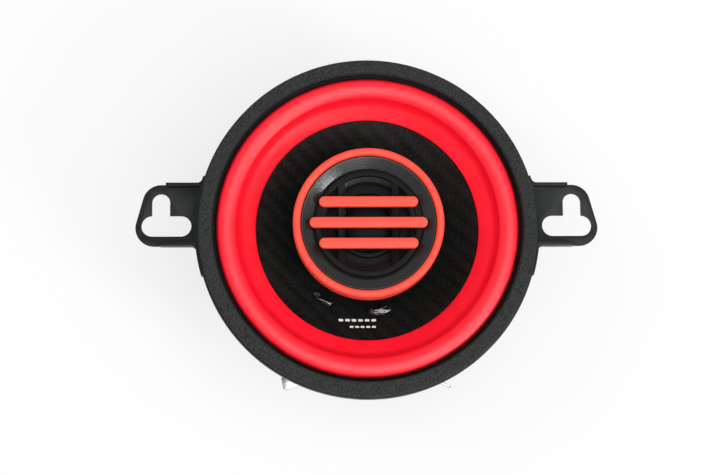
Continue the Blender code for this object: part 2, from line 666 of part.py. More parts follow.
def make_motor(body):
    """The magnet between its two steel plates, and the rivets that hold the basket."""
    bore = SCREW_RADIUS + 2 * FIT_GAP
    recess = WASHER_RADIUS + WIRE_GAP
    recess_top = HEAD_SETBACK + SCREW_HEAD_HEIGHT + WASHER_THICKNESS + 2 * SEAT_GAP
    yoke = [(bore, POLE_TOP), (POLE_RADIUS - MOTOR_CHAMFER / 2, POLE_TOP)]
    yoke += [(POLE_RADIUS, POLE_TOP - MOTOR_CHAMFER / 2), (POLE_RADIUS, BACK_PLATE_THICKNESS)]
    yoke += ring_profile(0.0, BACK_PLATE_RADIUS, 0.0, BACK_PLATE_THICKNESS, MOTOR_CHAMFER)[1:-1]
    yoke += [(recess, 0.0), (recess, recess_top), (bore, recess_top)]
    turned("back_plate_with_pole", yoke, PLATED_STEEL, body, LARGE_STEPS)

    magnet_top = MAGNET_Z + MAGNET_THICKNESS
    magnet = ring_profile(MAGNET_BORE_RADIUS, MAGNET_RADIUS, MAGNET_Z, magnet_top, MOTOR_CHAMFER)
    turned("magnet_ring", magnet, FERRITE, body, LARGE_STEPS)

    profile = ring_profile(TOP_PLATE_BORE, TOP_PLATE_RADIUS, TOP_PLATE_Z, TOP_PLATE_TOP, MOTOR_CHAMFER)
    top_plate = turned("top_plate", profile, PLATED_STEEL, body, LARGE_STEPS)
    holes = bmesh.new()
    wide = RIVET_RADIUS + FIT_GAP
    add_drill(holes, wide, TOP_PLATE_Z - SHEET, TOP_PLATE_TOP + SHEET, rivet_places())
    combine(top_plate, add_cutter("top_plate_holes", holes, body), "DIFFERENCE")

    head_z = FLOOR_Z + SEAT_GAP
    tail_z = TOP_PLATE_Z + WIRE_GAP
    rivet = arc((0.0, head_z), (RIVET_HEAD_RADIUS, RIVET_HEAD_HEIGHT), math.pi / 2, 0.0, 4)
    rivet[0] = (0.0, head_z + RIVET_HEAD_HEIGHT)
    rivet += [(RIVET_RADIUS, head_z), (RIVET_RADIUS, tail_z), (0.0, tail_z)]
    for i, place in enumerate(rivet_places()):
        turned(f"motor_rivet_{i + 1}", rivet, PLATED_STEEL, body, TINY_STEPS, Matrix.Translation(place))


def make_post(body):
    """The tweeter's post and the screw that holds it through the pole."""
    hole = SCREW_RADIUS + FIT_GAP
    spigot_top = HOUSING_Z + HOUSING_FLOOR
    hole_top = POLE_TOP + SCREW_GRIP + WIRE_GAP
    post = [(0.0, spigot_top), (SPIGOT_RADIUS, spigot_top), (SPIGOT_RADIUS, POST_TOP)]
    post += [(POST_RADIUS, POST_TOP), (POST_RADIUS, POST_Z)]
    post += [(hole, POST_Z), (hole, hole_top), (0.0, hole_top)]
    turned("tweeter_post", post, BRASS, body, SMALL_STEPS)

    washer_z = HEAD_SETBACK + SCREW_HEAD_HEIGHT + SEAT_GAP
    washer = ring_profile(hole + FIT_GAP, WASHER_RADIUS, washer_z, washer_z + WASHER_THICKNESS)
    turned("post_washer", washer, PLATED_STEEL, body, SMALL_STEPS)

    head_top = HEAD_SETBACK + SCREW_HEAD_HEIGHT
    edge = SCREW_HEAD_HEIGHT / 4
    screw = [(0.0, POLE_TOP + SCREW_GRIP), (SCREW_RADIUS, POLE_TOP + SCREW_GRIP)]
    screw += [(SCREW_RADIUS, head_top), (SCREW_HEAD_RADIUS, head_top)]
    screw += [(SCREW_HEAD_RADIUS, HEAD_SETBACK + edge), (SCREW_HEAD_RADIUS - edge, HEAD_SETBACK)]
    screw += [(0.0, HEAD_SETBACK)]
    post_screw = turned("post_screw", screw, PLATED_STEEL, body, SMALL_STEPS)
    long_side = SCREW_HEAD_RADIUS * 0.6
    short_side = SCREW_RECESS_WIDTH / 2
    cross = []
    for x, y in ((1, 0), (0, 1), (-1, 0), (0, -1)):
        for side in (-1, 1):
            cross.append((x * long_side - y * side * short_side, y * long_side + x * side * short_side))
        corner = ((x - y) * short_side, (x + y) * short_side)
        cross.append(corner)
    recess = bmesh.new()
    extrude_outline(recess, cross, HEAD_SETBACK - SCREW_RECESS_DEPTH, HEAD_SETBACK + SCREW_RECESS_DEPTH)
    combine(post_screw, add_cutter("screw_recess", recess, body), "DIFFERENCE")


def make_moving_coil(body):
    former = ring_profile(FORMER_INNER, FORMER_OUTER, WINDING_Z - FORMER_TAIL, FORMER_TOP)
    turned("voice_coil_former", former, KAPTON, body, MEDIUM_STEPS)
    winding = ring_profile(WINDING_INNER, WINDING_OUTER, WINDING_Z, WINDING_Z + WINDING_LENGTH)
    turned("voice_coil_winding", winding, COPPER, body, MEDIUM_STEPS)


def make_cone(body):
    cone = sheet_profile(cone_points(), CONE_THICKNESS)
    # The neck ends in an upright edge beside the voice coil's former.
    cone[-1] = (NECK_RADIUS, cone[-1][1])
    turned("cone", cone, CARBON_PAPER, body, LARGE_STEPS)


def make_surround(body):
    """A half roll between the cone's edge and the rim, with a band that laps the cone."""
    rise = (SEAT_GAP + SURROUND_THICKNESS) / math.cos(cone_slope(LAP_RADIUS))
    face = [(LAP_RADIUS, cone_front(LAP_RADIUS) + rise)]
    valley = cone_front(ROLL_INNER) + rise
    middle = ((ROLL_INNER + ROLL_OUTER) / 2, 0.0)
    for radius, height in arc(middle, (ROLL_WIDTH / 2, ROLL_HEIGHT), math.pi, 0.0, 7):
        share = (radius - ROLL_INNER) / ROLL_WIDTH
        face.append((radius, height + valley + (SURROUND_TOP - valley) * share))
    face.append((GASKET_RADIUS - SURROUND_INSET, SURROUND_TOP))
    turned("surround", sheet_profile(face, SURROUND_THICKNESS), RED_RUBBER, body, LARGE_STEPS)


def make_spider(body):
    """The corrugated disc that centres the voice coil."""
    start = NECK_RADIUS + SPIDER_INNER_LAND
    end = FLOOR_RADIUS - SPIDER_OUTER_LAND
    face = [(NECK_RADIUS, SPIDER_Z), (start, SPIDER_Z)]
    folds = SPIDER_WAVES * 2
    for i in range(folds):
        height = SPIDER_Z + SPIDER_WAVE_HEIGHT * (1, -1)[i % 2]
        face.append((start + (end - start) * (i + 0.5) / folds, height))
    face += [(end, SPIDER_Z), (SPIDER_RADIUS, SPIDER_Z)]
    turned("spider", sheet_profile(face, SPIDER_THICKNESS), YELLOW_CLOTH, body, MEDIUM_STEPS)


def make_gasket(body):
    top = GASKET_Z + GASKET_THICKNESS
    gasket = [(GASKET_INNER, GASKET_Z), (GASKET_INNER, top - GASKET_EDGE), (GASKET_INNER + GASKET_EDGE, top)]
    gasket += [(GASKET_RADIUS - GASKET_EDGE, top), (GASKET_RADIUS, top - GASKET_EDGE)]
    gasket += [(GASKET_RADIUS, GASKET_Z)]
    turned("front_gasket", gasket, GASKET_FOAM, body, LARGE_STEPS)


def make_tweeter_body(body):
    """The fixed pieces of the tweeter behind its faceplate."""
    hole = SPIGOT_RADIUS + FIT_GAP
    flange_z = HOUSING_TOP - HOUSING_FLANGE
    housing = [(hole, HOUSING_Z), (HOUSING_RADIUS - HOUSING_CHAMFER, HOUSING_Z)]
    housing += [(HOUSING_RADIUS, HOUSING_Z + HOUSING_CHAMFER), (HOUSING_RADIUS, flange_z)]
    housing += [(HOUSING_FLANGE_RADIUS, flange_z), (HOUSING_FLANGE_RADIUS, HOUSING_TOP)]
    housing += [(HOUSING_INNER, HOUSING_TOP), (HOUSING_INNER, HOUSING_Z + HOUSING_FLOOR)]
    housing += [(hole, HOUSING_Z + HOUSING_FLOOR)]
    shell = turned("tweeter_housing", housing, BLACK_PLASTIC, body, LARGE_STEPS)
    holes = bmesh.new()
    drill = arc((0.0, 0.0), (LEAD_HOLE_RADIUS, LEAD_HOLE_RADIUS), 0.0, 2 * math.pi, 8)[:-1]
    point_out = Matrix.Rotation(math.pi / 2, 4, "Y")
    for side in (-1, 1):
        turn = Matrix.Rotation(TERMINAL_SIDE + side * LEAD_HOLE_SPREAD, 4, "Z")
        lift = Matrix.Translation((0.0, 0.0, LEAD_HOLE_Z))
        extrude_outline(holes, drill, HOUSING_INNER - SHEET, HOUSING_RADIUS + SHEET, turn @ lift @ point_out)
    combine(shell, add_cutter("lead_holes", holes, body), "DIFFERENCE")

    cup = [(0.0, CUP_Z + CUP_FLOOR), (CUP_INNER, CUP_Z + CUP_FLOOR), (CUP_INNER, CUP_TOP)]
    cup += [(CUP_RADIUS, CUP_TOP), (CUP_RADIUS, CUP_Z), (0.0, CUP_Z)]
    turned("tweeter_cup", cup, PLATED_STEEL, body, MEDIUM_STEPS)
    magnet_top = TWEETER_MAGNET_Z + TWEETER_MAGNET_HEIGHT
    magnet = ring_profile(0.0, TWEETER_MAGNET_RADIUS, TWEETER_MAGNET_Z, magnet_top)
    turned("tweeter_magnet", magnet, PLATED_STEEL, body, MEDIUM_STEPS)
    washer = ring_profile(0.0, POLE_WASHER_RADIUS, POLE_WASHER_Z, CUP_TOP)
    turned("tweeter_pole_washer", washer, PLATED_STEEL, body, MEDIUM_STEPS)

    hollow = DOME_ROLL_OUTER + SEAT_GAP
    ring_top = DIAPHRAGM_RING_Z + DIAPHRAGM_RING_HEIGHT
    ring = ring_profile(hollow, HOUSING_INNER - WIRE_GAP, DIAPHRAGM_RING_Z, ring_top)
    turned("diaphragm_ring", ring, BLACK_PLASTIC, body, MEDIUM_STEPS)

    length, depth, height = CAPACITOR_SIZE
    near = CUP_RADIUS + WIRE_GAP
    far = near + depth
    outline = [(-length / 2, near), (length / 2, near), (length / 2, far), (-length / 2, far)]
    plate("crossover_capacitor", outline, CUP_Z, CUP_Z + height, RED_PLASTIC, body)


def make_tweeter_front(body):
    """The dished faceplate, the red bezel round it and the guard over the dome."""
    face = [(THROAT_RADIUS, DISH_LOW_Z - THROAT_DEPTH), (THROAT_RADIUS, DISH_LOW_Z)]
    face += [(FACEPLATE_RADIUS, DISH_HIGH_Z), (FACEPLATE_RADIUS, HOUSING_TOP + SEAT_GAP)]
    turned("tweeter_faceplate", sheet_profile(face, FACEPLATE_WALL), SATIN_BLACK, body, LARGE_STEPS)

    skirt_inner = HOUSING_FLANGE_RADIUS + FIT_GAP
    skirt_z = HOUSING_TOP - BEZEL_SKIRT
    bezel = [(BEZEL_INNER, HOUSING_TOP + SEAT_GAP), (skirt_inner, HOUSING_TOP + SEAT_GAP)]
    bezel += [(skirt_inner, skirt_z), (BEZEL_RADIUS, skirt_z)]
    outer = (BEZEL_RADIUS - BEZEL_ROUND, BEZEL_TOP - BEZEL_ROUND)
    inner = (BEZEL_INNER + BEZEL_ROUND, BEZEL_TOP - BEZEL_ROUND)
    bezel += arc(outer, (BEZEL_ROUND, BEZEL_ROUND), 0.0, math.pi / 2, 3)
    bezel += arc(inner, (BEZEL_ROUND, BEZEL_ROUND), math.pi / 2, math.pi, 3)
    turned("tweeter_bezel", bezel, RED_PLASTIC, body, LARGE_STEPS)

    guard_top = DISH_HIGH_Z - GUARD_SETBACK
    inside = GUARD_RING_RADIUS - GUARD_RING_WIDTH
    ring = [(inside, guard_top), (GUARD_RING_RADIUS, guard_top)]
    for radius in (GUARD_RING_RADIUS, inside):
        ring.append((radius, dish_front(radius) + SEAT_GAP))
    guard = turned("guard_frame", ring, SATIN_BLACK, body, MEDIUM_STEPS)
    ribs = bmesh.new()
    reach = math.sqrt((GUARD_RING_RADIUS - GUARD_RING_WIDTH / 2) ** 2 - GUARD_RIB_X**2)
    near = GUARD_RIB_X - GUARD_RIB_WIDTH / 2
    far = GUARD_RIB_X + GUARD_RIB_WIDTH / 2
    rib = [(near, -reach), (far, -reach), (far, reach), (near, reach)]
    both_sides(ribs, rib, guard_top - GUARD_RIB_HEIGHT, guard_top - SEAT_GAP / 2)
    combine(guard, add_cutter("guard_ribs", ribs, body), "UNION")

    bar_z = guard_top + SEAT_GAP
    for i, (name, gap) in enumerate(BAR_END_GAPS.items()):
        middle = (1 - i) * BAR_PITCH
        length = 2 * (dish_radius(bar_z) - gap)
        outline = rounded_rectangle(length, BAR_WIDTH, BAR_WIDTH / 2 - SEAT_GAP, 5)
        outline = [(x, y + middle) for x, y in outline]
        plate(f"guard_bar_{name}", outline, bar_z, bar_z + BAR_THICKNESS, RED_PLASTIC, body)


def make_tweeter_diaphragm(body):
    base = DIAPHRAGM_Z + DIAPHRAGM_THICKNESS
    face = arc((0.0, base), (DOME_RADIUS, DOME_HEIGHT), math.pi / 2, math.radians(15.0), 4)
    face[0] = (0.0, base + DOME_HEIGHT)
    face.append((DOME_RADIUS, base))
    dome = sheet_profile(face, DIAPHRAGM_THICKNESS)
    dome[-1] = (0.0, base + DOME_HEIGHT - DIAPHRAGM_THICKNESS)
    turned("tweeter_dome", dome, SILK, body, MEDIUM_STEPS)

    middle = ((DOME_ROLL_INNER + DOME_ROLL_OUTER) / 2, base)
    face = arc(middle, (DOME_ROLL_WIDTH / 2, DOME_ROLL_HEIGHT), math.pi, 0.0, 4)
    face = [(DOME_ROLL_INNER, base), *face[1:-1], (DOME_ROLL_OUTER, base)]
    face.append((DOME_ROLL_OUTER + DOME_FLANGE, base))
    roll = sheet_profile(face, DIAPHRAGM_THICKNESS)
    turned("tweeter_dome_surround", roll, SILK, body, MEDIUM_STEPS)

    winding_middle = POLE_WASHER_Z + POLE_WASHER_HEIGHT / 2
    winding_z = winding_middle - TWEETER_WINDING_LENGTH / 2
    tail_z = winding_z - 2 * FORMER_TAIL
    former = ring_profile(TWEETER_FORMER_INNER, TWEETER_FORMER_OUTER, tail_z, DIAPHRAGM_Z - SEAT_GAP)
    turned("tweeter_coil_former", former, KAPTON, body, MEDIUM_STEPS)
    winding_top = winding_z + TWEETER_WINDING_LENGTH
    winding = ring_profile(TWEETER_WINDING_INNER, TWEETER_WINDING_OUTER, winding_z, winding_top)
    turned("tweeter_coil_winding", winding, COPPER, body, MEDIUM_STEPS)


def make_terminals(body):
    """The terminal board under the spider's ledge, with its two blades and their rivets."""
    start = TERMINAL_SIDE - BOARD_HALF_ANGLE
    end = TERMINAL_SIDE + BOARD_HALF_ANGLE
    outline = arc((0.0, 0.0), (BOARD_OUTER_RADIUS, BOARD_OUTER_RADIUS), start, end, 12)
    outline += arc((0.0, 0.0), (BOARD_INNER_RADIUS, BOARD_INNER_RADIUS), end, start, 12)
    board = plate("terminal_board", outline, BOARD_Z, BOARD_TOP, FIBRE, body)
    holes = bmesh.new()
    places = board_rivet_places()
    for offset in (POSITIVE_OFFSET, NEGATIVE_OFFSET):
        places.append(polar(TERMINAL_RIVET_CIRCLE, TERMINAL_SIDE + offset))
    add_drill(holes, SMALL_RIVET_RADIUS + FIT_GAP, BOARD_Z - SHEET, BOARD_TOP + SHEET, places)
    combine(board, add_cutter("board_holes", holes, body), "DIFFERENCE")

    under = BOARD_Z - SEAT_GAP
    head = under - SMALL_RIVET_HEAD_HEIGHT
    rivet = [(0.0, LEDGE_Z - SEAT_GAP), (SMALL_RIVET_RADIUS, LEDGE_Z - SEAT_GAP)]
    rivet += [(SMALL_RIVET_RADIUS, under), (SMALL_RIVET_HEAD_RADIUS, under)]
    rivet += [(SMALL_RIVET_HEAD_RADIUS, head), (0.0, head)]
    for name, place in zip(("left", "right"), board_rivet_places()):
        turned(f"board_rivet_{name}", rivet, BRASS, body, TINY_STEPS, Matrix.Translation(place))

    angle = TERMINAL_SIDE + POSITIVE_OFFSET
    positive = add_terminal(body, "positive_terminal", positive_outline(), angle, POSITIVE_BLADE[1])
    fix_terminal(body, positive, angle, POSITIVE_BLADE[1])
    angle = TERMINAL_SIDE + NEGATIVE_OFFSET
    negative = add_terminal(body, "negative_terminal", negative_outline(), angle, NEGATIVE_BLADE[1])
    combine(negative, add_cutter("negative_blade", upright_blade(), body), "UNION")
    fix_terminal(body, negative, angle, NEGATIVE_BLADE[1])


def add_terminal(body, name, outline, angle, thickness):
    """The part of a terminal that lies flat on the board, from its plan along +X."""
    bm = bmesh.new()
    extrude_outline(bm, outline, BLADE_Z, BLADE_Z + thickness, Matrix.Rotation(angle, 4, "Z"))
    return add_mesh(name, bm, TIN, body)


def fix_terminal(body, terminal, angle, thickness):
    """The hole through a terminal and the rivet that fixes it to the board."""
    place = polar(TERMINAL_RIVET_CIRCLE, angle)
    hole = bmesh.new()
    add_drill(hole, SMALL_RIVET_RADIUS + FIT_GAP, BLADE_Z - SHEET, BLADE_Z + 2 * SHEET, [place])
    combine(terminal, add_cutter(f"{terminal.name}_hole", hole, body), "DIFFERENCE")
    top = BLADE_Z + thickness + SEAT_GAP
    rivet = [(0.0, top + SMALL_RIVET_HEAD_HEIGHT)]
    rivet += [(SMALL_RIVET_HEAD_RADIUS, top + SMALL_RIVET_HEAD_HEIGHT / 2), (SMALL_RIVET_HEAD_RADIUS, top)]
    rivet += [(SMALL_RIVET_RADIUS, top), (SMALL_RIVET_RADIUS, BOARD_Z), (0.0, BOARD_Z)]
    turned(f"{terminal.name}_rivet", rivet, BRASS, body, TINY_STEPS, Matrix.Translation(place))


def positive_outline():
    """The wide blade points straight outwards and has a pointed tip."""
    half = POSITIVE_BLADE[0] / 2
    shoulder = TERMINAL_REACH - BLADE_POINT
    outline = [(TERMINAL_ROOT, -half), (shoulder, -half), (TERMINAL_REACH, -half / 4)]
    outline += [(TERMINAL_REACH, half / 4), (shoulder, half), (TERMINAL_ROOT, half)]
    return outline


def negative_outline():
    """The flat base of the narrow blade."""
    half = TERMINAL_BASE_WIDTH / 2
    return [(TERMINAL_ROOT, -half), (NEGATIVE_FOLD, -half), (NEGATIVE_FOLD, half), (TERMINAL_ROOT, half)]


def upright_blade():
    """The narrow blade itself, which stands on its edge and is turned aside."""
    height, thickness = NEGATIVE_BLADE
    tip = polar(TERMINAL_REACH, TERMINAL_SIDE + NEGATIVE_TIP_OFFSET)
    length = NEGATIVE_BLADE_LENGTH
    outline = [(-length, 0.0), (-thickness, 0.0), (0.0, height / 4)]
    outline += [(0.0, height * 3 / 4), (-thickness, height), (-length, height)]
    stand = Matrix.Rotation(math.pi / 2, 4, "X")
    turn = Matrix.Rotation(NEGATIVE_BLADE_ANGLE, 4, "Z")
    move = Matrix.Translation((tip.x, tip.y, BLADE_Z + SEAT_GAP / 2)) @ turn
    bm = bmesh.new()
    extrude_outline(bm, outline, -thickness / 2, thickness / 2, move @ stand)
    return bm


def make_wiring(body):
    """Glue dabs on the cone and the wires that meet there."""
    slope = cone_slope(DAB_RADIUS)
    tilt = Matrix.Rotation(slope, 4, "X")
    long_half, short_half, height = DAB_SIZE
    for i, (name, angle) in enumerate(DAB_ANGLES.items()):
        flat = arc((0.0, 0.0), (1.0, height), math.pi / 2, 0.0, 4)
        flat[0] = (0.0, height)
        bm = bmesh.new()
        spin_outline(bm, [*flat, (0.0, 0.0)], SMALL_STEPS)
        bmesh.ops.scale(bm, vec=(long_half, short_half, 1.0), verts=bm.verts[:])
        radius, level = above_cone(DAB_RADIUS, 2 * WIRE_GAP)
        spot = polar(radius, angle, level)
        turn = Matrix.Rotation(angle - math.pi / 2, 4, "Z")
        add_mesh(f"glue_dab_{name}", bm, GLUE, body, Matrix.Translation(spot) @ turn @ tilt)
        make_leads(body, name, angle, i)


def make_leads(body, name, angle, index):
    """The coil, tinsel and tweeter wires that end at one glue dab."""
    inner_radius = DAB_RADIUS - DAB_SIZE[1] - WIRE_GAP
    lift = COIL_LEAD_RADIUS + WIRE_GAP
    path = []
    for share in (0.0, 0.35, 0.7, 1.0):
        start = NECK_RADIUS + COIL_LEAD_MARGIN
        radius = start + (inner_radius - start) * share
        path.append(polar(above_cone(radius, lift)[0], angle, above_cone(radius, lift)[1]))
    wire(f"coil_lead_{name}", path, COIL_LEAD_RADIUS, COPPER, body)

    back = CONE_THICKNESS + TINSEL_RADIUS + 2 * WIRE_GAP
    top_radius, top_z = above_cone(DAB_RADIUS, -back)
    side = (-1, 1)[index]
    foot_angle = TERMINAL_SIDE + side * TINSEL_OFFSET
    foot = polar(TINSEL_FOOT_RADIUS, foot_angle, BOARD_TOP + TINSEL_RADIUS + WIRE_GAP)
    sill_z = LEDGE_Z + WINDOW_SILL + TINSEL_RISE
    sill = polar(leg_radius(sill_z), foot_angle, sill_z)
    top = polar(top_radius, angle, top_z)
    middle = (sill + top) / 2 - Vector((0.0, 0.0, LEAD_SAG))
    wire(f"tinsel_lead_{name}", [foot, sill, middle, top], TINSEL_RADIUS, BRAID, body)

    hole_angle = TERMINAL_SIDE + side * LEAD_HOLE_SPREAD
    start_angle = angle - side * TWEETER_LEAD_TURN
    radius, level = above_cone(DAB_RADIUS - DAB_SIZE[1] - LEAD_SAG, TWEETER_LEAD_RADIUS + 2 * WIRE_GAP)
    start = polar(radius, start_angle, level)
    bulge = HOUSING_RADIUS + TWEETER_LEAD_BULGE
    rise = polar(bulge, (start_angle + hole_angle) / 2, (level + LEAD_HOLE_Z) / 2 + LEAD_SAG)
    mouth = polar(HOUSING_RADIUS + LEAD_SAG, hole_angle, LEAD_HOLE_Z)
    end = polar(HOUSING_RADIUS - HOUSING_WALL / 2, hole_angle, LEAD_HOLE_Z)
    wire(f"tweeter_lead_{name}", [start, rise, mouth, end], TWEETER_LEAD_RADIUS, BLACK_WIRE, body)


clear_scene()
STEEL = paint("steel", (0.5, 0.5, 0.5), 0.4, 1.0)
BLACK_STEEL = paint("black_painted_steel", (0.03, 0.033, 0.033), 0.45)
PLATED_STEEL = paint("plated_steel", (0.62, 0.62, 0.6), 0.35, 1.0)
FERRITE = paint("ferrite", (0.06, 0.06, 0.065), 0.6)
GASKET_FOAM = paint("gasket_foam", (0.045, 0.048, 0.046), 0.85)
RED_RUBBER = paint("red_rubber", (0.9, 0.02, 0.03), 0.45)
CARBON_PAPER = paint("carbon_paper", (0.012, 0.012, 0.012), 0.4)
YELLOW_CLOTH = paint("yellow_cloth", (0.55, 0.4, 0.12), 0.9)
KAPTON = paint("polyimide_film", (0.5, 0.2, 0.03), 0.35)
COPPER = paint("copper_wire", (0.7, 0.28, 0.12), 0.35, 1.0)
BRASS = paint("brass", (0.7, 0.5, 0.2), 0.35, 1.0)
TIN = paint("tinned_brass", (0.75, 0.75, 0.72), 0.3, 1.0)
SATIN_BLACK = paint("satin_black_plastic", (0.01, 0.01, 0.011), 0.3)
BLACK_PLASTIC = paint("black_plastic", (0.015, 0.015, 0.016), 0.5)
RED_PLASTIC = paint("red_plastic", (0.9, 0.08, 0.06), 0.4)
SILK = paint("dome_silk", (0.02, 0.02, 0.02), 0.7)
FIBRE = paint("fibre_board", (0.25, 0.12, 0.05), 0.7)
GLUE = paint("black_glue", (0.004, 0.004, 0.004), 0.15)
BRAID = paint("tinsel_braid", (0.55, 0.45, 0.35), 0.5, 1.0)
BLACK_WIRE = paint("black_wire", (0.01, 0.01, 0.01), 0.5)

chassis = axis_empty("chassis_axis", 0.0)
cone_body = axis_empty("cone_axis", NECK_Z)
tweeter_body = axis_empty("tweeter_axis", DIAPHRAGM_Z)

make_basket(chassis)
make_motor(chassis)
make_post(chassis)
make_gasket(chassis)
make_tweeter_body(chassis)
make_tweeter_front(chassis)
make_terminals(chassis)
make_moving_coil(cone_body)
make_cone(cone_body)
make_surround(cone_body)
make_spider(cone_body)
make_wiring(cone_body)
make_tweeter_diaphragm(tweeter_body)
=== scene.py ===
# %% [markdown]
# # A coaxial car speaker
# The frame of this small two-way speaker is finished and measured: it fixes where every piece is
# and what it moves with. Each cell below makes one piece over its place in the frame, gives it a
# finish, and says which part of the frame it stands for. Lengths are in metres, +Z points out of
# the front of the speaker, and the terminals are on the -Y side.

from math import asin, atan, atan2, cos, pi, radians, sin, sqrt

import bmesh
import bpy
from mathutils import Matrix, Vector, noise
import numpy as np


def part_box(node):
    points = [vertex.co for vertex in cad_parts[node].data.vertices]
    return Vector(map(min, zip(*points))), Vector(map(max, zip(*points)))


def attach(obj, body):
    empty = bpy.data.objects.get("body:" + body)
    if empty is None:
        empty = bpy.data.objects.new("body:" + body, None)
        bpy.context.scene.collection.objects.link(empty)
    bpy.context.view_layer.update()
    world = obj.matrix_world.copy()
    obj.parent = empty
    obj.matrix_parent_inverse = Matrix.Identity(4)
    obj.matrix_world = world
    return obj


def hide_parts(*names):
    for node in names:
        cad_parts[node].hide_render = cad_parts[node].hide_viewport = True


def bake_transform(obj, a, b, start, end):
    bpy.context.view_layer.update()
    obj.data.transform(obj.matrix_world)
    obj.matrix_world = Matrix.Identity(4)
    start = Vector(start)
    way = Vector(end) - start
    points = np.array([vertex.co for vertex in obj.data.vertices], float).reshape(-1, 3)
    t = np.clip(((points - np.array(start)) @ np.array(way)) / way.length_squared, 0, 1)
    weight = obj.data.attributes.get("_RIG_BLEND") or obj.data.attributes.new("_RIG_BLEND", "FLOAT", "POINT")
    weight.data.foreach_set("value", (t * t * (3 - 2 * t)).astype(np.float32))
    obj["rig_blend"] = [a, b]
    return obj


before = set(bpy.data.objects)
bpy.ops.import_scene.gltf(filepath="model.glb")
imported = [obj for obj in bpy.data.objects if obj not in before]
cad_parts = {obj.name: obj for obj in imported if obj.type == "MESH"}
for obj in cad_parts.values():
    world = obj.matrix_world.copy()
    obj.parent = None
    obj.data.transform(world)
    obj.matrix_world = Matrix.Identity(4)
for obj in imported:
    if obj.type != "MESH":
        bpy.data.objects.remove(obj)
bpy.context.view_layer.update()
MM = 0.001
print("nodes:", len(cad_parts))

# %% [markdown]
# ## Camera
# The speaker lies on its back and is looked at from almost straight above, a little from the
# terminals' side. A long lens keeps the round rim round, so the camera stands half a metre away.
# It is placed from three directions: where it looks, what is to its right, and what is up.

# %% Place the camera
LOOK_AT = Vector((-2.98, -2.67, 45.0)) * MM
CAMERA_DISTANCE = 500 * MM
CAMERA_AROUND = radians(-10.79)
CAMERA_ABOVE = radians(80.73)
CAMERA_ROLL = radians(-0.38)
LENS = 94.95

level = cos(CAMERA_ABOVE)
towards_camera = Vector((level * sin(CAMERA_AROUND), -level * cos(CAMERA_AROUND), 0))
towards_camera.z = sin(CAMERA_ABOVE)
right = (-towards_camera).cross(Vector((0, 1, 0))).normalized()
up = right.cross(-towards_camera)
right, up = (
    right * cos(CAMERA_ROLL) + up * sin(CAMERA_ROLL),
    up * cos(CAMERA_ROLL) - right * sin(CAMERA_ROLL),
)
camera = bpy.data.objects.new("camera", bpy.data.cameras.new("camera"))
camera.data.lens = LENS
camera.data.clip_start = 10 * MM
camera.matrix_world = Matrix.Translation(LOOK_AT + towards_camera * CAMERA_DISTANCE) @ (
    Matrix((right, up, towards_camera)).transposed().to_4x4()
)
bpy.context.scene.collection.objects.link(camera)
bpy.context.scene.camera = camera
print("camera at", [round(v, 3) for v in camera.matrix_world.translation])

# %% [markdown]
# ## Floor and light
# A speaker is easiest to read on a white table under broad soft light. A big softbox overhead does
# most of the work. A small window, low at the near right, draws the highlight in the tweeter's dish
# and the glints on the glue. A fill from the left lifts the shade and is hidden from glossy
# surfaces. The table glows a little, as a card lit from below does, so its shadows stay pale.

# %% Make the floor and the lights
bpy.context.scene.view_settings.view_transform = "Standard"
SPEAKER_MIDDLE = Vector((0.0, 0.0, 0.045))
LIGHTS = {  # place, side of the square in metres, power in watts
    "overhead": ((0.2, -0.2, 1.15), 1.0, 9.6),
    "low_window": ((0.63, -0.45, 0.63), 0.2, 2.8),
    "left_fill": ((-0.75, 0.3, 0.9), 0.6, 2.6),
}
for name, (place, side, power) in LIGHTS.items():
    data = bpy.data.lights.new(name, "AREA")
    data.shape = "RECTANGLE"
    data.size = data.size_y = side
    data.energy = power
    light = bpy.data.objects.new(name, data)
    light.location = place
    light.rotation_euler = (SPEAKER_MIDDLE - Vector(place)).to_track_quat("-Z", "Y").to_euler()
    light.visible_glossy = name != "left_fill"
    bpy.context.scene.collection.objects.link(light)


def set_sockets(node, **values):
    for name, value in values.items():
        node.inputs[name.replace("_", " ")].default_value = value


WHITE = (1.0, 1.0, 1.0, 1.0)
world = bpy.data.worlds.new("surroundings")
world.use_nodes = True
set_sockets(world.node_tree.nodes["Background"], Color=WHITE, Strength=0.45)
bpy.context.scene.world = world

FLOOR_HALF = 3.0
floor_mesh = bpy.data.meshes.new("floor")
corners = [(-1, -1), (1, -1), (1, 1), (-1, 1)]
floor_mesh.from_pydata([(x * FLOOR_HALF, y * FLOOR_HALF, 0.0) for x, y in corners], [], [(0, 1, 2, 3)])
floor = bpy.data.objects.new("floor", floor_mesh)
bpy.context.scene.collection.objects.link(floor)
white_card = bpy.data.materials.new("white_card")
white_card.use_nodes = True
card = white_card.node_tree.nodes["Principled BSDF"]
set_sockets(card, Base_Color=(0.25, 0.25, 0.25, 1.0), Roughness=0.9, Specular_IOR_Level=0.1)
set_sockets(card, Emission_Color=WHITE, Emission_Strength=0.68)
floor_mesh.materials.append(white_card)
print("floor", 2 * FLOOR_HALF, "m across")

# %% [markdown]
# ## Node helpers
# Every finish below is a small graph of nodes fed by the object's own coordinates, so a grain has
# its real size wherever it lands. These helpers keep each graph down to a few readable lines.


# %% Helpers that build finishes
def new_finish(name, colour, roughness, metallic=0.0, shine=0.5):
    """A material with one Principled shader; returns the material, its tree and the shader."""
    material = bpy.data.materials.new(name)
    material.use_nodes = True
    shader = material.node_tree.nodes["Principled BSDF"]
    set_sockets(shader, Base_Color=(*colour, 1.0), Roughness=roughness)
    set_sockets(shader, Metallic=metallic, Specular_IOR_Level=shine)
    return material, material.node_tree, shader


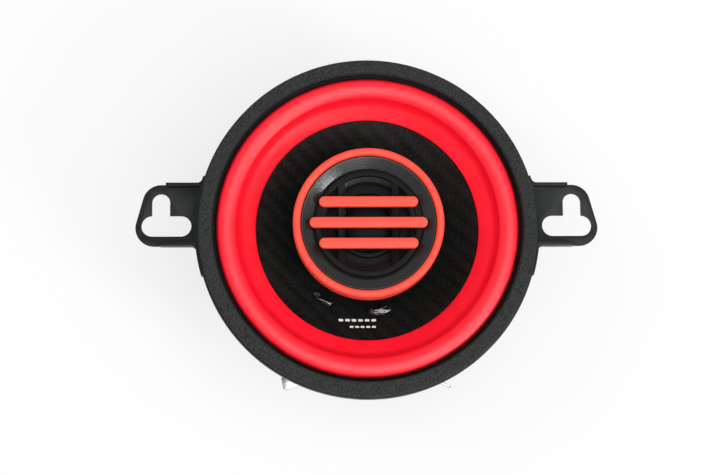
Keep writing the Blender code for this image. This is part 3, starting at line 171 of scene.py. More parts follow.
def add_node(tree, kind, inputs, **settings):
    """Adds a node; each input is a number, a vector or the socket that feeds it."""
    node = tree.nodes.new("ShaderNode" + kind)
    for key, value in settings.items():
        setattr(node, key, value)
    for key, value in inputs.items():
        if isinstance(value, bpy.types.NodeSocket):
            tree.links.new(value, node.inputs[key])
        else:
            node.inputs[key].default_value = value
    return node


def place_of(tree):
    """Object coordinates, in metres."""
    return add_node(tree, "TexCoord", {}).outputs["Object"]


def calc(tree, operation, first, second=0.0):
    return add_node(tree, "Math", {0: first, 1: second}, operation=operation).outputs[0]


def from_axis(tree):
    """Distance from the speaker's axis, in metres."""
    axes = add_node(tree, "SeparateXYZ", {0: place_of(tree)})
    squares = [calc(tree, "MULTIPLY", axes.outputs[axis], axes.outputs[axis]) for axis in ("X", "Y")]
    return calc(tree, "SQRT", calc(tree, "ADD", *squares))


def grain(tree, size, detail=2.0, vector=None, stretch=None):
    """Noise whose features are about this many metres across, and 1/stretch times as long."""
    vector = vector or place_of(tree)
    if stretch:
        scaled = add_node(tree, "VectorMath", {0: vector, 1: stretch}, operation="MULTIPLY")
        vector = scaled.outputs[0]
    inputs = {"Vector": vector, "Scale": 1.0 / size, "Detail": detail}
    return add_node(tree, "TexNoise", inputs).outputs["Fac"]


def shades(tree, factor, stops):
    """A colour ramp through (place, colour) stops."""
    node = add_node(tree, "ValToRGB", {"Fac": factor})
    while len(node.color_ramp.elements) < len(stops):
        node.color_ramp.elements.new(0.5)
    for element, (place, colour) in zip(node.color_ramp.elements, stops):
        element.position = place
        element.color = (*colour, 1.0)
    return node.outputs["Color"]


def span(tree, factor, low, high):
    """Stretches noise from about 0.3 to 0.7 out to low and high."""
    inputs = {"Value": factor, "From Min": 0.3, "From Max": 0.7, "To Min": low, "To Max": high}
    return add_node(tree, "MapRange", inputs).outputs["Result"]


def relief(tree, shader, height, depth, strength=1.0):
    """Bump of a real depth in metres, where height runs from 0 to 1."""
    inputs = {"Height": height, "Distance": depth, "Strength": strength}
    normal = add_node(tree, "Bump", inputs).outputs["Normal"]
    tree.links.new(normal, shader.inputs["Normal"])


def feed(tree, shader, socket, value):
    tree.links.new(value, shader.inputs[socket])


def mottled(name, stops, colour_grain, gloss, gloss_grain, depth, depth_grain, shine=0.5):
    """A finish of three noises: one for its colour, one for its gloss and one for its relief."""
    material, tree, shader = new_finish(name, stops[-1][1], gloss[1], shine=shine)
    feed(tree, shader, "Base Color", shades(tree, grain(tree, *colour_grain), stops))
    feed(tree, shader, "Roughness", span(tree, grain(tree, *gloss_grain), *gloss))
    relief(tree, shader, grain(tree, *depth_grain), depth)
    return material


# %% [markdown]
# ## Black paint on pressed steel
# The basket is stamped from sheet and dipped or sprayed with thin black paint. Paint that thin
# shows a faint orange peel about a millimetre across, and its gloss wanders from place to place.
# Small noise does the peel's relief, and larger ones the gloss and the colour.

# %% Black painted steel
BLACK_STEEL = mottled(
    "black_painted_steel",
    [(0.3, (0.007, 0.0085, 0.008)), (0.7, (0.013, 0.015, 0.0145))],
    (14 * MM, 3.0),
    (0.34, 0.5),
    (5 * MM, 2.0),
    0.02 * MM,
    (0.9 * MM, 1.0),
    0.2,
)
print("finish", BLACK_STEEL.name)

# %% [markdown]
# ## Crepe gasket
# The ring round the front is foam with a pebbled skin. It seals against the dash panel, so it is
# soft, matt and dark grey. Pebbles are what Voronoi cells look like, so the relief comes from
# them, and the hollows between the pebbles get painted shade: their colour is drawn darker.

# %% Crepe foam
PEBBLE = 0.5 * MM


def crepe_foam():
    material, tree, shader = new_finish("crepe_foam", (0.03, 0.033, 0.032), 0.85, shine=0.15)
    bent = add_node(tree, "TexNoise", {"Vector": place_of(tree), "Scale": 1 / (1.5 * MM)})
    inputs = {0: bent.outputs["Color"], 1: (0.5 * MM,) * 3, 2: place_of(tree)}
    moved = add_node(tree, "VectorMath", inputs, operation="MULTIPLY_ADD")
    inputs = {"Vector": moved.outputs[0], "Scale": 1 / PEBBLE, "Smoothness": 0.6}
    cells = add_node(tree, "TexVoronoi", inputs, feature="SMOOTH_F1").outputs["Distance"]
    # painted shade: the hollows between the pebbles are coloured darker than the pebbles' tops
    stops = [(0.1, (0.038, 0.041, 0.04)), (0.7, (0.018, 0.0195, 0.019))]
    feed(tree, shader, "Base Color", shades(tree, cells, stops))
    feed(tree, shader, "Roughness", span(tree, grain(tree, 3 * MM), 0.7, 0.88))
    relief(tree, shader, calc(tree, "SUBTRACT", 1.0, cells), 0.12 * MM)
    return material


CREPE = crepe_foam()
print("finish", CREPE.name)

# %% [markdown]
# ## Red rubber
# The surround is the springy ring that lets the cone move, moulded in bright red rubber. One flat
# colour would look like paint, so a slow noise drifts the red, a finer one the gloss, and a very low
# relief breaks the highlight up. The foot of the roll, deep in the corner by the gasket, gets painted
# shade: the colour runs into near black by its distance from the axis, along an edge that a noise
# makes wander.

# %% Red rubber
# where the painted shade at the foot of the roll begins, and where it is full
PAINTED_SHADE_FROM, PAINTED_SHADE_FULL = 39.5 * MM, 40.6 * MM


def red_rubber():
    material, tree, shader = new_finish("red_rubber", (0.95, 0.004, 0.014), 0.42, shine=0.6)
    drift = grain(tree, 8 * MM, 4.0)
    red = shades(tree, drift, [(0.3, (0.93, 0.003, 0.017)), (0.7, (0.97, 0.006, 0.025))])
    # a noise makes the edge of the painted shade wander
    wander = calc(tree, "MULTIPLY", grain(tree, 3 * MM), 0.4 * MM)
    inputs = {"Value": calc(tree, "ADD", from_axis(tree), wander)}
    inputs.update({"From Min": PAINTED_SHADE_FROM, "From Max": PAINTED_SHADE_FULL})
    painted_shade = add_node(tree, "MapRange", inputs, interpolation_type="SMOOTHSTEP").outputs[0]
    # painted shade: near black mixed into the red towards the foot of the roll
    inputs = {0: painted_shade, 6: red, 7: (0.05, 0.001, 0.002, 1.0)}
    feed(tree, shader, "Base Color", add_node(tree, "Mix", inputs, data_type="RGBA").outputs[2])
    feed(tree, shader, "Roughness", span(tree, grain(tree, 2.2 * MM, 4.0), 0.38, 0.48))
    relief(tree, shader, grain(tree, 0.35 * MM, 3.0), 0.008 * MM)
    return material


RED_RUBBER = red_rubber()
print("finish", RED_RUBBER.name)

# %% [markdown]
# ## Woven cone
# The cone is pressed from black carbon cloth. Its weave is a twill: each tow goes over two and
# under two of the others, one step further along on each row, which makes faint diagonals.
# The pattern is counted out with math nodes from X and Y, because the cloth was flat before it was
# pressed. Tows along X and along Y catch the light differently, so they also differ in gloss.

# %% Woven carbon
TOW = 1.25 * MM


def woven_carbon():
    material, tree, shader = new_finish("woven_carbon", (0.006, 0.0065, 0.006), 0.35, shine=0.3)
    axes = add_node(tree, "SeparateXYZ", {0: place_of(tree)})
    across = calc(tree, "DIVIDE", axes.outputs["X"], TOW)
    along = calc(tree, "DIVIDE", axes.outputs["Y"], TOW)
    step = calc(tree, "ADD", calc(tree, "FLOOR", across), calc(tree, "FLOOR", along))
    over = calc(tree, "LESS_THAN", calc(tree, "FLOORED_MODULO", step, 4.0), 1.5)
    domes, strands = [], []
    for place, stretch in ((across, (1.0, 0.06, 0.06)), (along, (0.06, 1.0, 0.06))):
        domes.append(calc(tree, "SINE", calc(tree, "MULTIPLY", calc(tree, "FRACT", place), pi)))
        strands.append(grain(tree, 0.16 * MM, 2.0, stretch=stretch))
    dome = add_node(tree, "Mix", {0: over, 2: domes[1], 3: domes[0]}).outputs[0]
    strand = add_node(tree, "Mix", {0: over, 2: strands[1], 3: strands[0]}).outputs[0]
    stops = [(0.3, (0.003, 0.0034, 0.003)), (0.75, (0.01, 0.011, 0.01))]
    feed(tree, shader, "Base Color", shades(tree, strand, stops))
    drift = span(tree, grain(tree, 6 * MM, 3.0), 0.3, 0.46)
    feed(tree, shader, "Roughness", calc(tree, "ADD", calc(tree, "MULTIPLY", over, 0.12), drift))
    height = calc(tree, "ADD", dome, calc(tree, "MULTIPLY", strand, 0.35))
    relief(tree, shader, height, 0.022 * MM)
    return material


CARBON = woven_carbon()
print("finish", CARBON.name, "with tows", TOW, "m wide")

# %% [markdown]
# ## Plastics of the tweeter
# The tweeter's dish and guard are moulded in black with a fine grain from the mould, and its bezel
# and bars in coral red, smoother and a little translucent. A picture of the grain could be laid on,
# but a noise has no seams and is sharp from close by, so one helper serves every plastic.


# %% Moulded plastics
def moulded(name, dark, light, gloss, grain_size, depth, shine=0.4):
    """Plastic with a colour range, a gloss range and a fine moulded grain."""
    stops = [(0.3, dark), (0.7, light)]
    return mottled(name, stops, (6 * MM, 3.0), gloss, (2 * MM, 3.0), depth, (grain_size, 2.0), shine)


GRAINED_BLACK = moulded(
    "grained_black", (0.007, 0.0078, 0.0075), (0.013, 0.014, 0.0135), (0.2, 0.3), 0.4 * MM, 0.035 * MM, 0.6
)
PLAIN_BLACK = moulded("plain_black", (0.003,) * 3, (0.006,) * 3, (0.45, 0.6), 0.5 * MM, 0.01 * MM, 0.12)
CORAL = moulded(
    "coral_plastic", (0.86, 0.07, 0.045), (0.92, 0.088, 0.056), (0.36, 0.46), 0.3 * MM, 0.004 * MM, 0.25
)
set_sockets(
    CORAL.node_tree.nodes["Principled BSDF"],
    Subsurface_Weight=0.1,
    Subsurface_Radius=(1.0, 0.25, 0.2),
    Subsurface_Scale=0.6 * MM,
)
CAPACITOR_CASE = moulded(
    "capacitor_case", (0.45, 0.09, 0.03), (0.6, 0.14, 0.05), (0.25, 0.35), 1.2 * MM, 0.03 * MM
)
WIRE_SKIN = moulded("wire_skin", (0.008,) * 3, (0.014,) * 3, (0.35, 0.5), 0.4 * MM, 0.01 * MM)
FILM = moulded("amber_film", (0.42, 0.15, 0.02), (0.56, 0.23, 0.04), (0.25, 0.35), MM, 0.003 * MM)
print("plastics:", [m.name for m in (GRAINED_BLACK, PLAIN_BLACK, CORAL, CAPACITOR_CASE)])

# %% [markdown]
# ## Plated and turned metal
# The motor's plates are punched steel with dull zinc on them, and the post is turned brass. Their
# tool marks run round the axis, so the noise is fed the distance from the axis in place of X and Y:
# it then makes fine rings, and blotches in the plating come from a second, ordinary noise.


# %% Metals
def plated(name, dark, light, gloss, ring_size=0.12 * MM, ring_depth=0.006 * MM):
    material, tree, shader = new_finish(name, light, gloss[1], metallic=1.0)
    axes = add_node(tree, "SeparateXYZ", {0: place_of(tree)})
    inputs = {"X": from_axis(tree), "Z": axes.outputs["Z"]}
    turned_place = add_node(tree, "CombineXYZ", inputs).outputs[0]
    rings = grain(tree, ring_size, 2.0, vector=turned_place)
    blotches = grain(tree, 3 * MM, 4.0)
    feed(tree, shader, "Base Color", shades(tree, blotches, [(0.3, dark), (0.7, light)]))
    feed(tree, shader, "Roughness", span(tree, blotches, gloss[1], gloss[0]))
    relief(tree, shader, rings, ring_depth)
    return material


ZINC = plated("zinc_plate", (0.52, 0.525, 0.53), (0.62, 0.62, 0.61), (0.26, 0.34))
BRASS = plated("turned_brass", (0.6, 0.4, 0.14), (0.78, 0.57, 0.25), (0.2, 0.34))
TIN = plated("tinned_brass", (0.42, 0.42, 0.41), (0.6, 0.6, 0.58), (0.24, 0.38), 0.5 * MM)
COPPER = plated("copper_winding", (0.5, 0.16, 0.06), (0.75, 0.3, 0.13), (0.25, 0.4), 0.2 * MM, 0.03 * MM)
print("metals:", [m.name for m in (ZINC, BRASS, TIN, COPPER)])

# %% [markdown]
# ## Ferrite, cloth, fibre and glue
# The magnet is ground ferrite, a charcoal ceramic with pores. The spider and the dome are cloth,
# the board is pressed brown fibre, and the leads are braided. Cloth is crossed waves, braid is a
# slanting one, and the others are noises at the size of a pore or a fibre. In most of them one
# pattern drives both colour and relief, so that the two always agree.


# %% Ferrite, cloth, fibre, braid, glue and ink
def cloth(name, dark, light, pitch, depth, roughness):
    """Plain weave seen from the front: a wave across X and one across Y."""
    material, tree, shader = new_finish(name, light, roughness, shine=0.15)
    axes = add_node(tree, "SeparateXYZ", {0: place_of(tree)})
    waves = []
    for axis in ("X", "Y"):
        waves.append(calc(tree, "SINE", calc(tree, "MULTIPLY", axes.outputs[axis], 2 * pi / pitch)))
    weave = calc(tree, "ADD", calc(tree, "MULTIPLY", calc(tree, "MULTIPLY", *waves), 0.5), 0.5)
    stain = calc(tree, "MULTIPLY", grain(tree, 2 * MM), 0.4)
    mixed = calc(tree, "ADD", calc(tree, "MULTIPLY", weave, 0.6), stain)
    feed(tree, shader, "Base Color", shades(tree, mixed, [(0.25, dark), (0.75, light)]))
    relief(tree, shader, weave, depth)
    return material


def patterned(name, colour, roughness, pattern, stops, depth, **settings):
    """A finish whose colour and relief both follow the pattern that a function makes."""
    material, tree, shader = new_finish(name, colour, roughness, **settings)
    height = pattern(tree)
    feed(tree, shader, "Base Color", shades(tree, height, stops))
    relief(tree, shader, height, depth)
    return material


def braid_wave(tree):
    inputs = {"Vector": place_of(tree), "Scale": 1 / (1.6 * MM), "Distortion": 1.0}
    return add_node(tree, "TexWave", inputs, bands_direction="DIAGONAL").outputs["Fac"]


def black_glue():
    material, tree, shader = new_finish("black_glue", (0.006,) * 3, 0.07, shine=1.0)
    set_sockets(shader, Coat_Weight=0.6, Coat_Roughness=0.08)
    relief(tree, shader, grain(tree, 1.6 * MM, 0.0), 0.015 * MM)
    return material


FERRITE = mottled(
    "ferrite",
    [(0.35, (0.03, 0.03, 0.033)), (0.65, (0.075, 0.075, 0.08))],
    (0.5 * MM, 6.0),
    (0.45, 0.7),
    (4 * MM, 2.0),
    0.05 * MM,
    (0.5 * MM, 6.0),
)
SPIDER_CLOTH = cloth("spider_cloth", (0.34, 0.22, 0.05), (0.62, 0.46, 0.15), 0.5 * MM, 0.08 * MM, 0.85)
DOME_SILK = cloth("dome_silk", (0.002,) * 3, (0.005,) * 3, 0.28 * MM, 0.02 * MM, 0.5)
FIBRE = patterned(
    "fibre_board",
    (0.2, 0.09, 0.035),
    0.65,
    lambda tree: grain(tree, 0.3 * MM, 5.0, stretch=(1.0, 0.2, 1.0)),
    [(0.3, (0.13, 0.055, 0.022)), (0.5, (0.2, 0.09, 0.035)), (0.75, (0.3, 0.15, 0.06))],
    0.03 * MM,
)
BRAID_STOPS = [(0.2, (0.22, 0.13, 0.08)), (0.8, (0.72, 0.55, 0.4))]
BRAID = patterned("tinsel_braid", (0.5, 0.38, 0.26), 0.45, braid_wave, BRAID_STOPS, 0.08 * MM, metallic=0.6)
INK_STOPS = [(0.3, (0.42,) * 3), (0.5, (0.85,) * 3)]
INK = patterned("white_ink", (0.8,) * 3, 0.5, lambda tree: grain(tree, 0.25 * MM, 4.0), INK_STOPS, 0.01 * MM)
GLUE = black_glue()
# black for the bead at the roll's foot, which is partly cement and partly stands in for the groove's shade
CEMENT_AND_SHADE = moulded("black_cement_and_shade", (0.004,) * 3, (0.008, 0.007, 0.007), (0.5, 0.7), 0.8 * MM, 0.05 * MM, 0.2)
print("other finishes:", [m.name for m in (FERRITE, SPIDER_CLOTH, DOME_SILK, FIBRE, GLUE, BRAID, INK)])

# %% [markdown]
# ## Shape helpers
# Most of the speaker is round, so most pieces are one outline turned about the axis. A real edge is
# never perfectly sharp: each corner of an outline is replaced by a few points on a small curve
# before it is turned, which makes the edges catch the light without any bevel afterwards.

# %% Helpers that build shapes
ROUND_STEPS = 160


def eased(outline, ease, count=3):
    """The closed outline with each clear corner replaced by a small curve."""
    points = [Vector(point) for point in outline]
    result = []
    for i, corner in enumerate(points):
        to_last = points[i - 1] - corner
        to_next = points[(i + 1) % len(points)] - corner
        reach = min(ease, to_last.length * 0.45, to_next.length * 0.45)
        bend = pi - to_last.angle(to_next, pi)
        if corner.x == 0.0 or bend < radians(12.0):
            result.append(tuple(corner))
            continue
        start = corner + to_last.normalized() * reach
        end = corner + to_next.normalized() * reach
        for step in range(count + 1):
            t = step / count
            point = start * (1 - t) ** 2 + corner * 2 * t * (1 - t) + end * t**2
            result.append(tuple(point))
    return result


def arc(centre, radius, start, end, count, height=None):
    """Points along an arc of a circle, or of an ellipse with another height; both ends included."""
    height = radius if height is None else height
    points = []
    for i in range(count + 1):
        angle = start + (end - start) * i / count
        points.append((centre[0] + radius * cos(angle), centre[1] + height * sin(angle)))
    return points


def polar(radius, degrees, height=0.0):
    angle = radians(degrees)
    return Vector((radius * cos(angle), radius * sin(angle), height))


def sheet_outline(face, thickness):
    """Outline of sheet material from its front face, given from the middle outwards."""
    points = [Vector(point) for point in face]
    back = []
    for i, point in enumerate(points):
        before = points[i] - points[i - 1] if i else points[1] - points[0]
        after = points[i + 1] - points[i] if i + 1 < len(points) else before
        before, after = before.normalized(), after.normalized()
        behind = Vector((before.y, -before.x))
        mitre = (behind + Vector((after.y, -after.x))).normalized()
        back.append(point + mitre * thickness / mitre.dot(behind))
    return [tuple(point) for point in points + back[::-1]]


def turn_outline(bm, outline, steps=ROUND_STEPS, centre=(0.0, 0.0)):
    """Adds the solid that a closed outline of (radius, height) points makes when it turns."""
    rings = []
    for i in range(steps):
        angle = 2 * pi * i / steps
        across, along = cos(angle), sin(angle)
        ring = [(centre[0] + r * across, centre[1] + r * along, z) for r, z in outline]
        rings.append([bm.verts.new(point) for point in ring])
    for i in range(steps):
        for j in range(len(outline)):
            after = (j + 1) % len(outline)
            if outline[j][0] == 0.0 and outline[after][0] == 0.0:
                continue
            following = rings[(i + 1) % steps]
            bm.faces.new((rings[i][j], following[j], following[after], rings[i][after]))
    bmesh.ops.remove_doubles(bm, verts=bm.verts[:], dist=1e-7)


def raise_outline(bm, outline, bottom, top, move=None):
    """Adds a prism on a closed plan outline, moved by a matrix where one is given."""
    move = move or Matrix.Identity(4)
    lower = [bm.verts.new(move @ Vector((x, y, bottom))) for x, y in outline]
    upper = [bm.verts.new(move @ Vector((x, y, top))) for x, y in outline]
    bm.faces.new(lower)
    bm.faces.new(upper[::-1])
    for i in range(len(outline)):
        after = (i + 1) % len(outline)
        bm.faces.new((lower[i], upper[i], upper[after], lower[after]))


def block(x, y):
    """Plan of a rectangle about the origin, from its half sizes."""
    return [(-x, -y), (x, -y), (x, y), (-x, y)]


def round_hole(bm, place, radius, bottom, top):
    """Adds a pin that cuts a round hole."""
    pin = arc(place, radius, 0.03, 2 * pi + 0.03, 24)[:-1]
    raise_outline(bm, pin, bottom, top)


def piece_from(name, bm, finish, sharp=40.0):
    """Closes a bmesh into an object with smooth faces and sharp edges above an angle."""
    bmesh.ops.recalc_face_normals(bm, faces=bm.faces[:])
    mesh = bpy.data.meshes.new(name)
    bm.to_mesh(mesh)
    bm.free()
    mesh.materials.append(finish)
    mesh.shade_smooth()
    mesh.set_sharp_from_angle(angle=radians(sharp))
    piece = bpy.data.objects.new(name, mesh)
    bpy.context.scene.collection.objects.link(piece)
    return piece


def turned(name, outline, finish, ease, steps=ROUND_STEPS, count=3, sharp=40.0):
    """The turned piece of an outline whose corners are eased first, unless ease is zero."""
    bm = bmesh.new()
    turn_outline(bm, eased(outline, ease, count) if ease else outline, steps)
    return piece_from(name, bm, finish, sharp)


def carve(piece, bm, operation):
    """Joins or cuts a piece with another closed mesh, and keeps only the result."""
    other = piece_from("carver", bm, piece.data.materials[0])
    modifier = piece.modifiers.new("carve", "BOOLEAN")
    modifier.operation = operation
    modifier.object = other
    modifier.solver = "EXACT"
    apply_modifiers(piece)
    bpy.data.objects.remove(other)


def apply_modifiers(piece):
    graph = bpy.context.evaluated_depsgraph_get()
    mesh = bpy.data.meshes.new_from_object(piece.evaluated_get(graph))
    piece.modifiers.clear()
    piece.data = mesh


def break_edges(piece, width, angle=40.0, count=2):
    """Bevels the sharp edges of a flat-sided piece."""
    modifier = piece.modifiers.new("broken_edges", "BEVEL")
    modifier.width = width
    modifier.segments = count
    modifier.limit_method = "ANGLE"
    modifier.angle_limit = radians(angle)
    modifier.use_clamp_overlap = True
    apply_modifiers(piece)
    piece.data.shade_smooth()
    piece.data.set_sharp_from_angle(angle=radians(angle))


def settle(piece, body, slot, *nodes):
    """The piece moves with a body and stands for these nodes, which it hides. The slot is not used."""
    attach(piece, body)
    if nodes:
        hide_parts(*nodes)
    print(piece.name, len(piece.data.vertices), "points, for", nodes or "looks only")


def refined(node, finish, slot, width):
    """A copy of a small fixed node with clean flat faces and broken edges, in its place."""
    bm = bmesh.new()
    bm.from_mesh(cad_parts[node].data)
    bmesh.ops.remove_doubles(bm, verts=bm.verts[:], dist=1e-6)
    bmesh.ops.dissolve_limit(bm, angle_limit=radians(1.0), verts=bm.verts[:], edges=bm.edges[:])
    piece = piece_from(f"{node}_finished", bm, finish)
    break_edges(piece, width)
    settle(piece, "chassis", slot, node)


def ends_of(node):
    """The lowest and the highest height of a node."""
    low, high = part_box(node)
    return low.z, high.z


def top_of(node):
    return ends_of(node)[1]


def bottom_of(node):
    return ends_of(node)[0]


def radius_of(node):
    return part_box(node)[1].y


print("helpers ready, round pieces have", ROUND_STEPS, "steps")

# %% [markdown]
# ## Basket
# The basket is one stamping: a flat floor on the motor, a ledge for the spider, six legs with
# windows between them, a flange that lies on the panel, and a rim that stands up in front of it.
# It could be modelled flat and bent, but turning its section and punching the windows afterwards
# is quicker and always closes. The ears, with their upturned lips, are joined on before the holes
# are cut, and one bevel at the end breaks every punched edge.

# %% Section of the basket
SHEET = 0.9 * MM
RIM_INNER = 40.6 * MM
basket_floor, rim_top = ends_of("basket")
basket_floor += SHEET
rim_radius = radius_of("basket")
ledge_top = basket_floor + 9.2 * MM
ear_top = rim_top - 3.0 * MM
panel_face = ear_top - SHEET
section = [
    (13.5 * MM, basket_floor),
    (25.4 * MM, basket_floor),
    (26.6 * MM, ledge_top),
    (31.2 * MM, ledge_top),
    (36.8 * MM, ear_top),
    (RIM_INNER, ear_top),
    (RIM_INNER, rim_top),
    (rim_radius, rim_top),
    (rim_radius, panel_face + 0.3 * MM),
]
basket = turned("pressed_basket", sheet_outline(section, SHEET), BLACK_STEEL, 0.45 * MM, 144, 2)
print("rim", rim_radius, "m in radius, its top", rim_top, "m above the floor")

# %% [markdown]
# ### Ears
# Each ear carries a T-shaped slot: its level part lets a screw sit anywhere across, and its upright
# part takes screws that are set higher. The left ear is the mirror image of the right one, so each
# outline is written once and raised twice.

# %% Ears, lips and slots
ear_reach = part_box("basket")[1].x
skirt_root = rim_radius - SHEET / 2
EAR_UPPER = 12.1 * MM
EAR_LOWER = -4.5 * MM
EAR_CORNER = 4.95 * MM
SLOT_Y = 0.95 * MM
SLOT_END = 2.8 * MM
KEY_END = 2.4 * MM
slot_outer = ear_reach - 1.6 * MM - SLOT_END
key_x = slot_outer - KEY_END


def mirrored(bm, outline, bottom, top):
    raise_outline(bm, outline, bottom, top)
    raise_outline(bm, [(-x, y) for x, y in outline[::-1]], bottom, top)


upper_corner = Vector((key_x, EAR_UPPER - EAR_CORNER))
lower_corner = Vector((ear_reach - EAR_CORNER, EAR_LOWER + EAR_CORNER))
slant = lower_corner - upper_corner
outward = atan2(slant.x, -slant.y)
root_ends = [asin(EAR_UPPER / skirt_root), asin(EAR_LOWER / skirt_root)]
ear = arc((0, 0), skirt_root, *root_ends, 12)
ear += arc(lower_corner, EAR_CORNER, -pi / 2, outward, 16)
ear += arc(upper_corner, EAR_CORNER, outward, pi / 2, 16)
ears = bmesh.new()
mirrored(ears, ear, panel_face, ear_top)
carve(basket, ears, "UNION")

collar_radius = rim_radius + 0.4 * MM
collar_angles = radians(-16.0), radians(18.0)
collar = arc((0, 0), collar_radius, *collar_angles, 21)
collar += arc((0, 0), skirt_root, *collar_angles[::-1], 21)
collars = bmesh.new()
mirrored(collars, collar, panel_face + 0.1 * MM, rim_top - 0.4 * MM)
carve(basket, collars, "UNION")


def lip_outline(edge, side):
    """Plan of the upturned lip on one edge of the right ear; side is +1 for the upper edge."""
    fillet = 1.4 * MM
    face = edge * side + 0.2 * MM
    middle = sqrt((collar_radius + fillet) ** 2 - (face + fillet) ** 2)
    touch = atan2(face + fillet, middle)
    tip = sqrt(collar_radius**2 - face**2) + 9.4 * MM
    inner = face - SHEET
    outline = [(tip, inner), (tip, face)]
    outline += arc((middle, face + fillet), fillet, -pi / 2, touch - pi, 8)
    outline.append((skirt_root * cos(touch), skirt_root * sin(touch)))
    outline.append((sqrt(skirt_root**2 - inner**2), inner))
    return [(x, y * side) for x, y in outline]


lips = bmesh.new()
for edge, side in ((EAR_UPPER, 1), (EAR_LOWER, -1)):
    mirrored(lips, lip_outline(edge, side), panel_face + 0.2 * MM, rim_top - 0.3 * MM)
carve(basket, lips, "UNION")

slot_inner = slot_outer - 7.7 * MM
key = Vector((key_x, 9.7 * MM - KEY_END))
slot = arc((slot_outer, SLOT_Y), SLOT_END, -pi / 2, pi / 2, 18)
slot += arc(key, KEY_END, 0.0, pi, 18)
slot.append((key_x - KEY_END, SLOT_Y + SLOT_END))
slot += arc((slot_inner, SLOT_Y), SLOT_END, pi / 2, 3 * pi / 2, 18)
print("ears reach", ear_reach, "m, slots", round(slot_outer - slot_inner + 2 * SLOT_END, 4), "m long")

# %% [markdown]
# ### Windows and rivet holes
# The windows are cut straight outwards through the legs' cone, by six blocks with round corners
# that stand like the cards of a fan. The same cut takes the slots and the rivet holes.

# %% Punch the basket
punches = bmesh.new()
mirrored(punches, slot, panel_face - SHEET, ear_top + SHEET)
sill = ledge_top + 1.6 * MM
head = panel_face - 1.6 * MM
half_width = 12.0 * MM
corner = 3.0 * MM
window = []
for i, (x_side, y_side) in enumerate(((1, 1), (-1, 1), (-1, -1), (1, -1))):
    middle = (x_side * (half_width - corner), y_side * ((head - sill) / 2 - corner))
    window += arc(middle, corner, i * pi / 2, (i + 1) * pi / 2, 8)
stand_up = Matrix.Rotation(pi / 2, 4, "Z") @ Matrix.Rotation(pi / 2, 4, "X")
for i in range(6):
    turn = Matrix.Rotation(i * pi / 3, 4, "Z") @ Matrix.Translation((0, 0, (sill + head) / 2))
    raise_outline(punches, window, 30.3 * MM, RIM_INNER, turn @ stand_up)
MOTOR_RIVETS = [polar(18.5 * MM, 45 + 90 * i) for i in range(4)]
MOTOR_RIVET_HOLE = 1.35 * MM
BOARD_RIVETS = [polar(29.35 * MM, 270 + side * 8) for side in (-1, 1)]
for place in MOTOR_RIVETS:
    round_hole(punches, place, MOTOR_RIVET_HOLE, basket_floor - 2 * SHEET, basket_floor + SHEET)
for place in BOARD_RIVETS:
    round_hole(punches, place, 1.05 * MM, ledge_top - 2 * SHEET, ledge_top + SHEET)
carve(basket, punches, "DIFFERENCE")
break_edges(basket, 0.16 * MM, 50.0)
settle(basket, "chassis", "black_painted_steel", "basket")

# %% [markdown]
# ## Front gasket
# The gasket is a flat ring of foam glued on the rim. It was die-cut and then pressed, so its front
# edges are well rounded. Its skin is never quite level: the points are nudged by less than a tenth
# of a millimetre with a smooth noise, which keeps the outline from looking turned.

# %% Front gasket
gasket_low, gasket_high = ends_of("front_gasket")
gasket_outer = radius_of("front_gasket")
GASKET_WIDTH = 3.8 * MM
gasket_inner = gasket_outer - GASKET_WIDTH
EDGE = 0.5 * MM
ring = [(gasket_inner, gasket_low), (gasket_inner, gasket_high - EDGE), (gasket_inner + EDGE, gasket_high)]
ring += [(gasket_inner + GASKET_WIDTH * share, gasket_high) for share in (0.2, 0.4, 0.6, 0.8)]
ring += [(gasket_outer - EDGE, gasket_high), (gasket_outer, gasket_high - EDGE), (gasket_outer, gasket_low)]
gasket_mesh = bmesh.new()
turn_outline(gasket_mesh, eased(ring, 0.35 * MM), 360)
for vert in gasket_mesh.verts:
    wobble = noise.noise(vert.co / (1.6 * MM)) + noise.noise(vert.co / (0.8 * MM))
    if vert.co.z > gasket_low + EDGE:
        vert.co.z -= abs(wobble) * 0.05 * MM
        vert.co.xy *= 1 - abs(wobble) * 0.03 * MM / gasket_outer
gasket = piece_from("crepe_gasket", gasket_mesh, CREPE, 80.0)
settle(gasket, "chassis", "gasket_foam", "front_gasket")

# %% [markdown]
# ## Cone
# The cone is a thin cloth shell, slightly bowed, glued to the coil's tube at its neck and to the
# surround at its edge. Its front face is one curve, so it is drawn as many points along that curve
# and turned; everything that lies on the cone asks the same function for the cone's height.

# %% Cone
NECK_RADIUS = 10.2 * MM
CONE_RADIUS = 34.1 * MM
LAP_RADIUS = 29.8 * MM
NECK_Z = 30.3 * MM
CONE_EDGE_Z = rim_top - 0.9 * MM
CONE_BOW = 0.5 * MM
PAPER = 0.5 * MM


def cone_front(radius):
    """Height of the cone's front face."""
    share = (radius - NECK_RADIUS) / (CONE_RADIUS - NECK_RADIUS)
    return NECK_Z + (CONE_EDGE_Z - NECK_Z) * share - CONE_BOW * 4 * share * (1 - share)


def cone_slope(radius):
    return atan((cone_front(radius + 0.1 * MM) - cone_front(radius)) / (0.1 * MM))


cone_face = []
for i in range(25):
    radius = NECK_RADIUS + (CONE_RADIUS - NECK_RADIUS) * i / 24
    cone_face.append((radius, cone_front(radius)))
cone_outline = sheet_outline(cone_face, PAPER)
cone_outline[-1] = (NECK_RADIUS, cone_outline[-1][1])
cone = turned("woven_cone", cone_outline, CARBON, 0.1 * MM, 192)
settle(cone, "cone", "carbon_paper", "cone")

# %% [markdown]
# ## Parts that stretch
# Its own line runs straight, while these pieces bend outwards from the axis, so the share that
# follows the cone is worked out again here from each point's distance to the axis.


